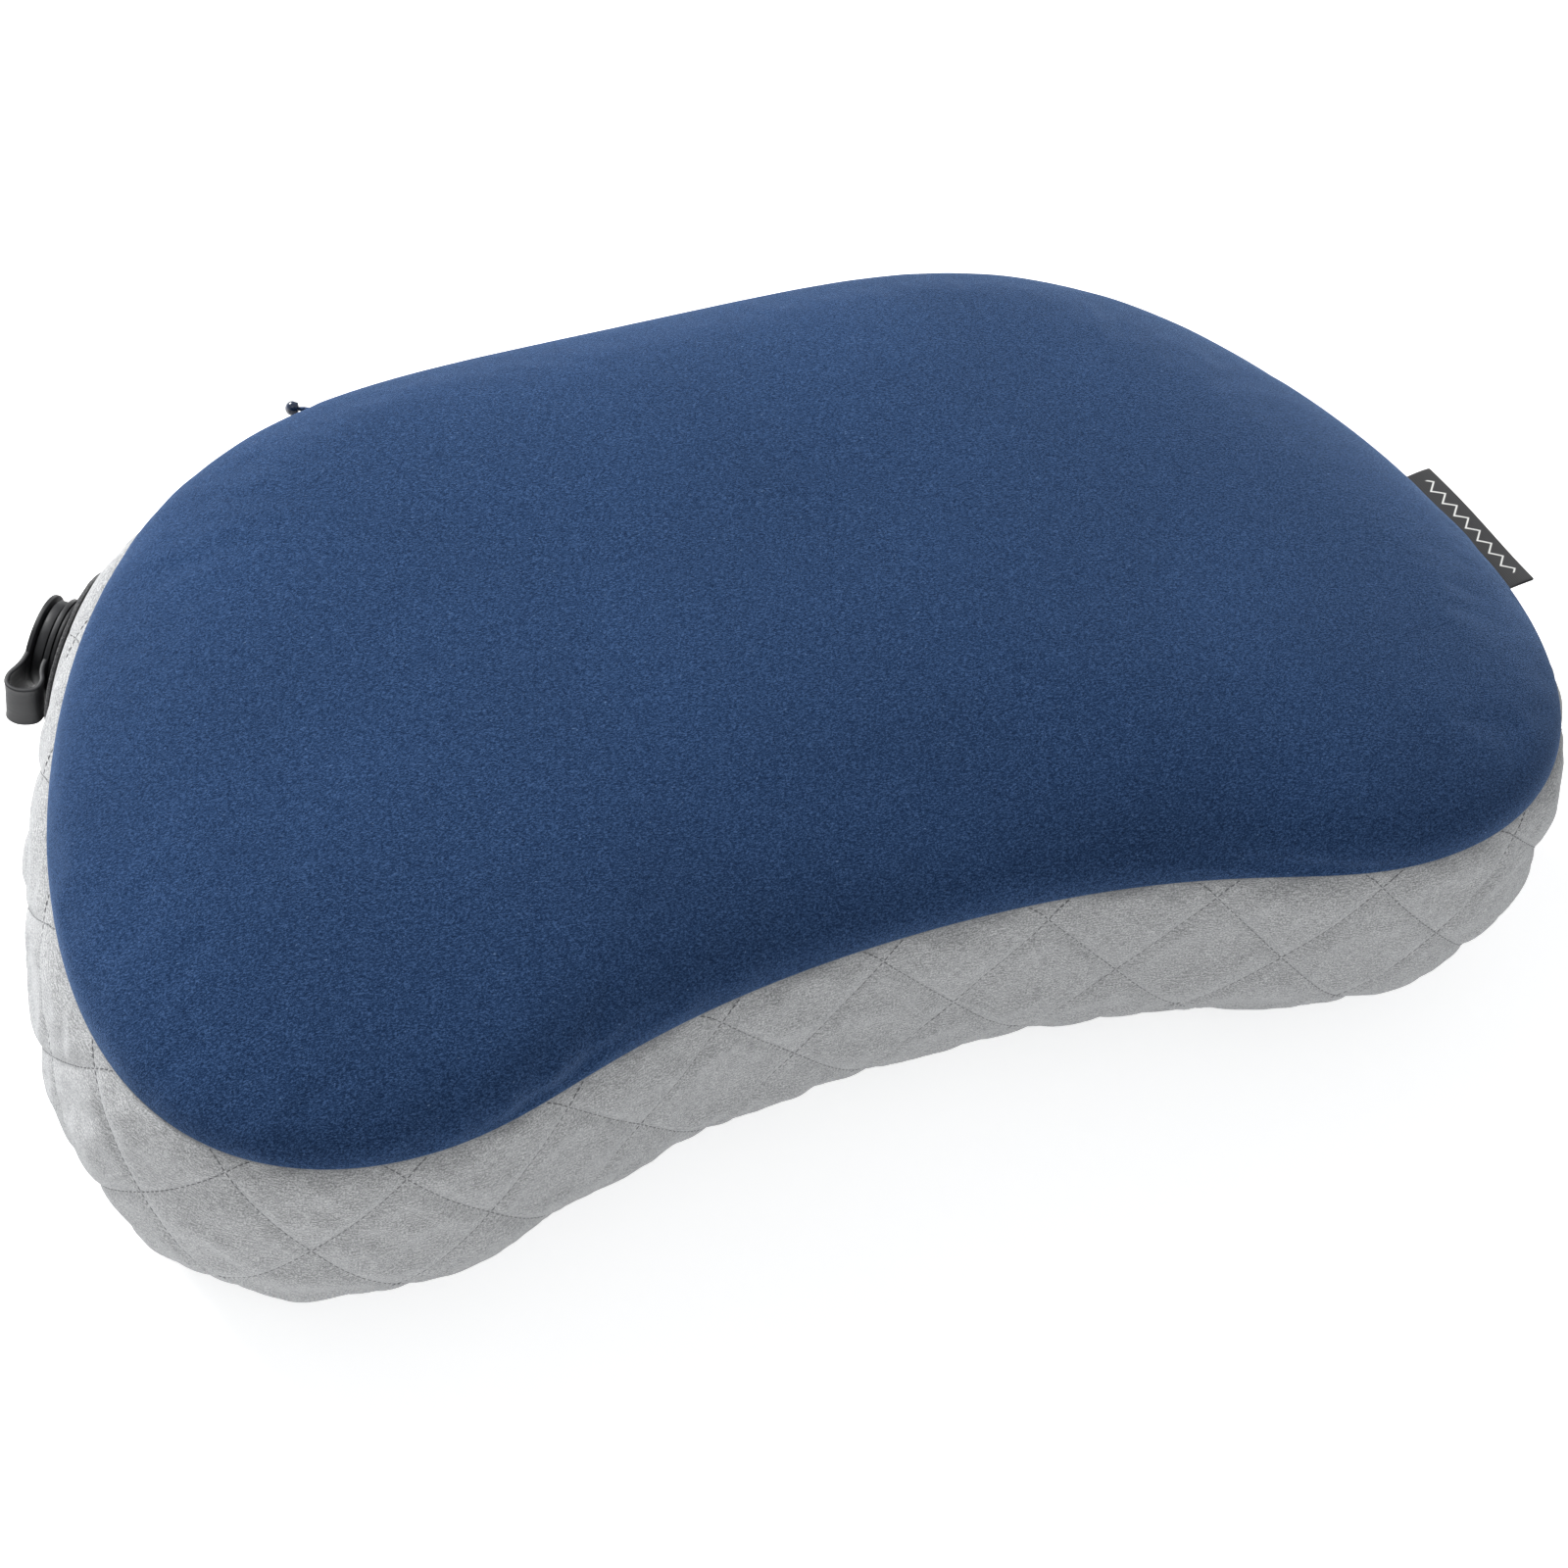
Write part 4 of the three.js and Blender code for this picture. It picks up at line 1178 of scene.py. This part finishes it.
def cap_loop():
    """The cap's wide strap: from the cap's rim out to the neck side and back to the plug's lip."""
    path = [
        (-10.2, 9.3), (-13.5, 9.4), (-16.0, 10.0), (-19.4, 11.0), (-22.3, 10.1), (-23.1, 6.7),
        (-21.2, 2.9), (-17.9, 2.2), (-15.3, 3.3), (-13.0, 3.85), (-10.8, 3.9),
    ]
    return bent_strap("cap_loop", path, (16, 15.6, 15.2, 15, 15, 15.2, 16), 1.0, 1.5)


def plug_loop():
    """The plug's narrow strap: a hairpin below the cap's loop, from the collar to the lip."""
    hairpin = [(-13.5, 2.6), (-14.1, 3.2), (-13.5, 3.8)]
    path = [(-8.4, 2.45), (-11.4, 2.5), *hairpin, (-11.6, 3.9), (-8.8, 3.9)]
    strap = bent_strap("plug_loop", path, (3, 3), 0.6, 0.6)
    place(strap, Matrix.Translation((0, 10.6 * MM, 0)))
    return strap


def valve_patch():
    """The felt patch on the cloth round the collar."""
    inner, outer, turns, rings = 13.9 * MM, 23 * MM, 120, 7
    points = []
    out = VALVE["out"]
    for ring in range(rings):
        radius = inner + (outer - inner) * ring / (rings - 1)
        for k in range(turns):
            turn = 2 * math.pi * k / turns
            flat = (radius * math.cos(turn), radius * math.sin(turn), 20 * MM)
            hit = VALVE["lying"].ray_cast(VALVE["matrix"] @ Vector(flat), -out)[0]
            points.append(hit + out * 0.45 * MM)
    faces = ring_faces(turns, rings)
    patch = mesh_piece("valve_patch", points, faces)
    turn_faces_out(patch)
    middle = sum((Vector(p.normal) for p in patch.data.polygons), Vector())
    if middle.dot(out) < 0:
        patch.data.flip_normals()
    modify(patch, "SOLIDIFY", thickness=1.0 * MM, offset=1, use_even_offset=False)
    ease(patch, 0.25, segments=2, degrees=50)
    refine(patch)
    rough_edge(patch)
    smooth(patch, 180)
    return patch


def rough_edge(patch):
    """Fuzzy felt: small uneven swells over the patch."""
    points = points_of(patch)
    push_out(patch, ripple(points, 900, 7) * 0.07 * MM + ripple(points, 260, 9) * 0.09 * MM)


def flap_disc():
    """The soft flap inside the plug: a thin disc on a barbed stem."""
    disc = [(0.4, -1.5), (6.8, -1.5), (7, -1.3), (6.6, -0.9)]
    stem = [(1, -0.9), (1, 1.7), (1.8, 1.7), (1.1, 2.4), (0.4, 2.5)]
    flap = turned("flap_disc", disc + stem, 64)
    ease(flap, 0.08, segments=2)
    return flap


# ---- Label ----
def side_label():
    """One woven strip folded on itself along its free edge, its ends caught in the seam."""
    length, reach, tuck, half = LABEL_LENGTH, LABEL_REACH, LABEL_TUCK, 0.32 * MM
    along_steps, across_steps = 44, 26
    outline = label_section(reach, tuck, half, across_steps)
    run = lengths(outline)
    along, out = np.meshgrid(
        (np.arange(along_steps + 1) / along_steps - 0.5) * length, outline[:, 0], indexing="ij"
    )
    share = np.maximum(out, 0) / reach
    wave = 0.45 * MM * share * np.sin(along / length * 5.2 + 0.6)
    spread = 1 + 0.6 * np.exp(-((share - 0.6) ** 2) * 8) * (0.6 + 0.4 * np.sin(along * 140))
    height = outline[:, 1] * spread + wave - 1.1 * MM * share**2
    points = np.stack([out, along, height], -1).reshape(-1, 3)
    flat = np.stack([along + length / 2, np.broadcast_to(run, out.shape)], -1).reshape(-1, 2)
    width = across_steps + 1
    faces = []
    for i in range(along_steps):
        for j in range(across_steps):
            a = i * width + j
            faces.append((a, a + 1, a + width + 1, a + width))
    label = mesh_piece("side_tag", points, faces)
    lay_map(label, flat[np.array(faces).ravel()])
    modify(label, "SOLIDIFY", thickness=0.35 * MM, offset=0)
    refine(label)
    t = np.array([LABEL_AT])
    out = Vector((*outward(t)[0], 0))
    spot = Vector((*seam_line(t)[0], SEAM_Z))
    turn = Matrix((out, Vector((0, 0, 1)).cross(out), Vector((0, 0, 1)))).transposed().to_4x4()
    place(label, Matrix.Translation(spot) @ turn)
    turn_faces_out(label)
    smooth(label, 50)
    return label


def label_section(reach, tuck, half, steps):
    """The folded strip from the side: out along the bottom, round the fold and back along the top."""
    bends = steps // 4
    fold = reach - half
    low = [(x, -half) for x in np.linspace(-tuck, fold, (steps - bends) // 2 + 1)]
    arc = half_round(fold, half, bends)[1:-1]
    rest = steps + 1 - len(low) - len(arc)
    high = [(x, half) for x in np.linspace(fold, -tuck, rest)]
    return np.array(low + arc + high)


# ---- Zip ----
def coil(name, side):
    """One side of the zip: nylon turns that mesh with the other side's."""
    pitch = 1.25 * MM
    count = int((coil_high.x - coil_low.x - MM) / pitch)
    bpy.ops.mesh.primitive_torus_add(
        major_radius=0.62 * MM, minor_radius=0.2 * MM, major_segments=14, minor_segments=6,
        rotation=(0, math.pi / 2, 0),
    )
    turns = scaled(named(name), 1.0, 0.62, 1.0)
    set_points(turns, points_of(turns) * (1.35, 1, 1))
    spacing = {"use_constant_offset": True, "constant_offset_displace": (pitch, 0, 0)}
    modify(turns, "ARRAY", count=count, use_relative_offset=False, **spacing)
    start = -count * pitch / 2 + (pitch / 2 if side < 0 else 0)
    middle_y = (coil_low.y + coil_high.y) / 2
    place(turns, Matrix.Translation((start, middle_y, SEAM_Z + side * 0.72 * MM)))
    smooth(turns, 60)
    return turns


def rod(name, path, radius, cyclic=False, sides=4):
    """A round wire or cord along a smooth path."""
    curve = bpy.data.curves.new(name, "CURVE")
    curve.dimensions = "3D"
    curve.bevel_depth = radius
    curve.bevel_resolution = sides
    curve.resolution_u = 8
    curve.use_fill_caps = True
    line = curve.splines.new("BEZIER")
    line.bezier_points.add(len(path) - 1)
    line.use_cyclic_u = cyclic
    for knot, spot in zip(line.bezier_points, path):
        knot.co = spot
        knot.handle_left_type = knot.handle_right_type = "AUTO"
    piece = into_scene(name, curve)
    select_only(piece)
    bpy.ops.object.convert(target="MESH")
    smooth(piece, 60)
    return piece


SLIDER_X = pin_point.x
PLATE_FRONT = pin_point.y - 0.9 * MM


def slider_body():
    """The zip slider: a waisted front plate, a back plate, and an arch that holds the pull."""
    bpy.ops.mesh.primitive_cube_add(size=1)
    front = scaled(named("slider_body"), 9 * MM, 0.9 * MM, 6 * MM)
    edit(front)
    bpy.ops.mesh.subdivide(number_cuts=5)
    bpy.ops.object.mode_set(mode="OBJECT")
    shape_plate(front)
    back = into_scene("slider_back", front.data.copy())
    back_low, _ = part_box("zip_slider")
    place(front, Matrix.Translation((SLIDER_X, PLATE_FRONT - 0.45 * MM, SEAM_Z)))
    place(back, Matrix.Translation((SLIDER_X, back_low.y + 0.45 * MM, SEAM_Z)))
    bpy.ops.mesh.primitive_torus_add(
        major_radius=1.5 * MM, minor_radius=0.5 * MM, major_segments=40, minor_segments=14
    )
    arch = scaled(named("slider_arch"), 1.3, 1, 1.5)
    place(arch, Matrix.Translation((SLIDER_X, PLATE_FRONT + 0.38 * MM, SEAM_Z)))
    body = join("slider_body", front, arch, back)
    ease(body, 0.12, segments=2, degrees=40)
    smooth(body, 40)
    return body


def shape_plate(plate):
    """Narrows the plate towards its closed end and rounds its corners."""
    points = points_of(plate)
    share = points[:, 0] / (4.5 * MM)
    points[:, 2] *= 1 - 0.16 * smooth_step(share * 0.5 + 0.5) - 0.1 * np.abs(share) ** 6
    points[:, 1] *= 1 - 0.12 * (points[:, 2] / (3 * MM)) ** 2
    set_points(plate, points)


def pull_pieces():
    """The pull: a wire fork on the pin, a short twisted cord and a moulded bead."""
    half, arm, reach = 1.8 * MM, 4.0 * MM, 13.0 * MM
    fork_path = [
        (0, 0, -half), (0, 0, 0), (0, 0, half), (-arm * 0.5, 0, half), (-arm, 0, half * 0.75),
        (-arm - 0.3 * MM, 0, 0), (-arm, 0, -half * 0.75), (-arm * 0.5, 0, -half),
    ]
    fork = rod("pull_fork", fork_path, 0.38 * MM, cyclic=True)
    cord_path = [
        (-arm - 0.2 * MM, 0, 0), (-arm - 1.4 * MM, 0.25 * MM, 0), (-8 * MM, 0.1 * MM, 0), (-reach, 0, 0),
    ]
    cord = rod("pull_cord", cord_path, 0.62 * MM)
    twist_cord(cord)
    bpy.ops.mesh.primitive_uv_sphere_add(segments=40, ring_count=24, radius=0.5)
    bead = scaled(named("pull_bead"), 4.0 * MM, 3.8 * MM, 4.6 * MM)
    points = points_of(bead)
    collar = np.exp(-(((points[:, 0] - 1.5 * MM) / (0.35 * MM)) ** 2)) * 0.25
    points[:, 1:] *= (1 + collar)[:, None]
    set_points(bead, points)
    place(bead, Matrix.Translation((-reach, 0, 0)))
    smooth(bead, 60)
    lean = Matrix.Translation(pin_point) @ Matrix.Rotation(math.radians(-23), 4, "Z")
    for piece in (fork, cord, bead):
        place(piece, lean)
    return fork, cord, bead


def twist_cord(cord):
    """Two-strand lay: the cord's surface swells in a slow spiral."""
    points = points_of(cord)
    turn = np.arctan2(points[:, 2], points[:, 1])
    swell = 1 + 0.14 * np.cos(2 * (turn - points[:, 0] / (1.1 * MM)))
    points[:, 1:] *= swell[:, None]
    set_points(cord, points)


# ---- Putting it together ----
def dress(piece, material, body, slot, *nodes):
    piece.data.materials.clear()
    piece.data.materials.append(material)
    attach(piece, body)
    if nodes:
        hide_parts(*nodes)


def redress(node, material):
    """A frame piece that stays takes a proper finish."""
    piece = frame["nodes"][node]
    for holder in piece.material_slots:
        holder.material = material


def cover():
    blue, grey, thread = brushed_blue(), melange_grey(), thread_grey()
    top = top_cover()
    dress(top, blue, "root", "top_cloth", "top_panel")
    wall, stitching = quilted_wall()
    dress(wall, grey, "root", "base_cloth", "quilt_face", "quilt_wadding", "quilt_lining")
    dress(stitching, thread, "root", "seam_cloth")
    foot, foot_stitching = foot_panel()
    dress(foot, grey, "root", "base_cloth")
    dress(foot_stitching, thread, "root", "seam_cloth")
    label = side_label()
    dress(label, label_black(), "root", "label_cloth", "side_label")
    redress("perimeter_seam", plain_knit("seam_allowance", (0.03, 0.07, 0.16)))


def valve():
    black = moulded_black()
    silicone = moulded_black("silicone_grey", tone=0.2, rough=0.4)
    for piece, material, body, slot, nodes in (
        (valve_collar(), black, "root", "valve_plastic", ["valve_base"]),
        (plug_body(), black, "plug", "valve_plastic", ["valve_plug"]),
        (plug_tab(), black, "plug", "valve_plastic", []),
        (plug_web(), black, "plug", "valve_plastic", []),
        (cap_disc(), black, "cap", "valve_plastic", ["valve_cap"]),
        (flap_disc(), silicone, "flap", "flap_silicone", ["valve_flap"]),
    ):
        place(piece, VALVE["matrix"])
        smooth(piece, 35)
        dress(piece, material, body, slot, *nodes)
    dress(valve_patch(), felt_dark(), "root", "facing_cloth", "valve_facing")
    strap_across(cap_loop(), black, "cap_tether")
    strap_across(plug_loop(), black, "plug_tether")
    film = film_grey()
    redress("bladder_bottom", film)
    redress("bladder_top", film)


def strap_across(strap, material, node):
    """A strap between two bodies, set in place with the valve and tied to neither."""
    place(strap, VALVE["matrix"])
    smooth(strap, 50)
    strap.data.materials.append(material)
    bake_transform(strap)
    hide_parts(node)


def zip_fastener():
    navy = woven("zip_weave", (0.008, 0.02, 0.055), (0.03, 0.06, 0.14), 0.7 * MM)
    nylon = enamel_blue()
    for side, name in ((1, "upper"), (-1, "lower")):
        redress("zip_tape_" + name, navy)
        dress(coil("coil_" + name, side), nylon, "root", "zip_coil", "zip_coil_" + name)
    for name in ("closed", "open"):
        redress("zip_stop_" + name, nylon)
    dress(slider_body(), nylon, "slider", "zip_metal", "zip_slider")
    fork, cord, bead = pull_pieces()
    dress(fork, nylon, "pull", "zip_metal", "zip_pull")
    dress(cord, navy, "pull", "pull_plastic")
    dress(bead, glossy_bead(), "pull", "pull_plastic")


def studio():
    """A pale floor, a bright surround and soft lamps from the upper left."""
    bpy.ops.mesh.primitive_plane_add(size=12, location=(0, 0, -0.2 * MM))
    floor = named("floor")
    glow = {"Emission_Color": (1, 1, 1), "Emission_Strength": 0.5}
    paper = Finish("paper_white", 0.9, Specular_IOR_Level=0.0, **glow)
    grain = paper.noise(paper.place(), 3, detail=2)
    paper.colour(grain, (0.3, 0.9), (0.7, 0.92))
    floor.data.materials.append(paper.material)
    world = bpy.data.worlds.new("surround")
    world.use_nodes = True
    light = world.node_tree.nodes["Background"].inputs
    light["Color"].default_value = (0.97, 0.985, 1, 1)
    light["Strength"].default_value = 0.5
    bpy.context.scene.world = world
    right, up, back = view_axes()
    lamp("key", VIEW_TARGET + Vector((-0.5, 1.0, 0.95)) * 1.2, 1.0, 52)
    lamp("fill", VIEW_TARGET + (right * 0.3 - up * 0.3 + back) * 1.6, 1.8, 6)
    bpy.context.scene.view_settings.view_transform = "Standard"


def lamp(name, spot, size, power):
    data = bpy.data.lights.new(name, "AREA")
    data.shape = "DISK"
    data.size = size
    data.energy = power
    piece = into_scene(name, data)
    piece.location = spot
    piece.rotation_euler = (spot - VIEW_TARGET).to_track_quat("Z", "Y").to_euler()


bpy.ops.object.select_all(action="DESELECT")
valve_frame()
cover()
valve()
zip_fastener()
studio()
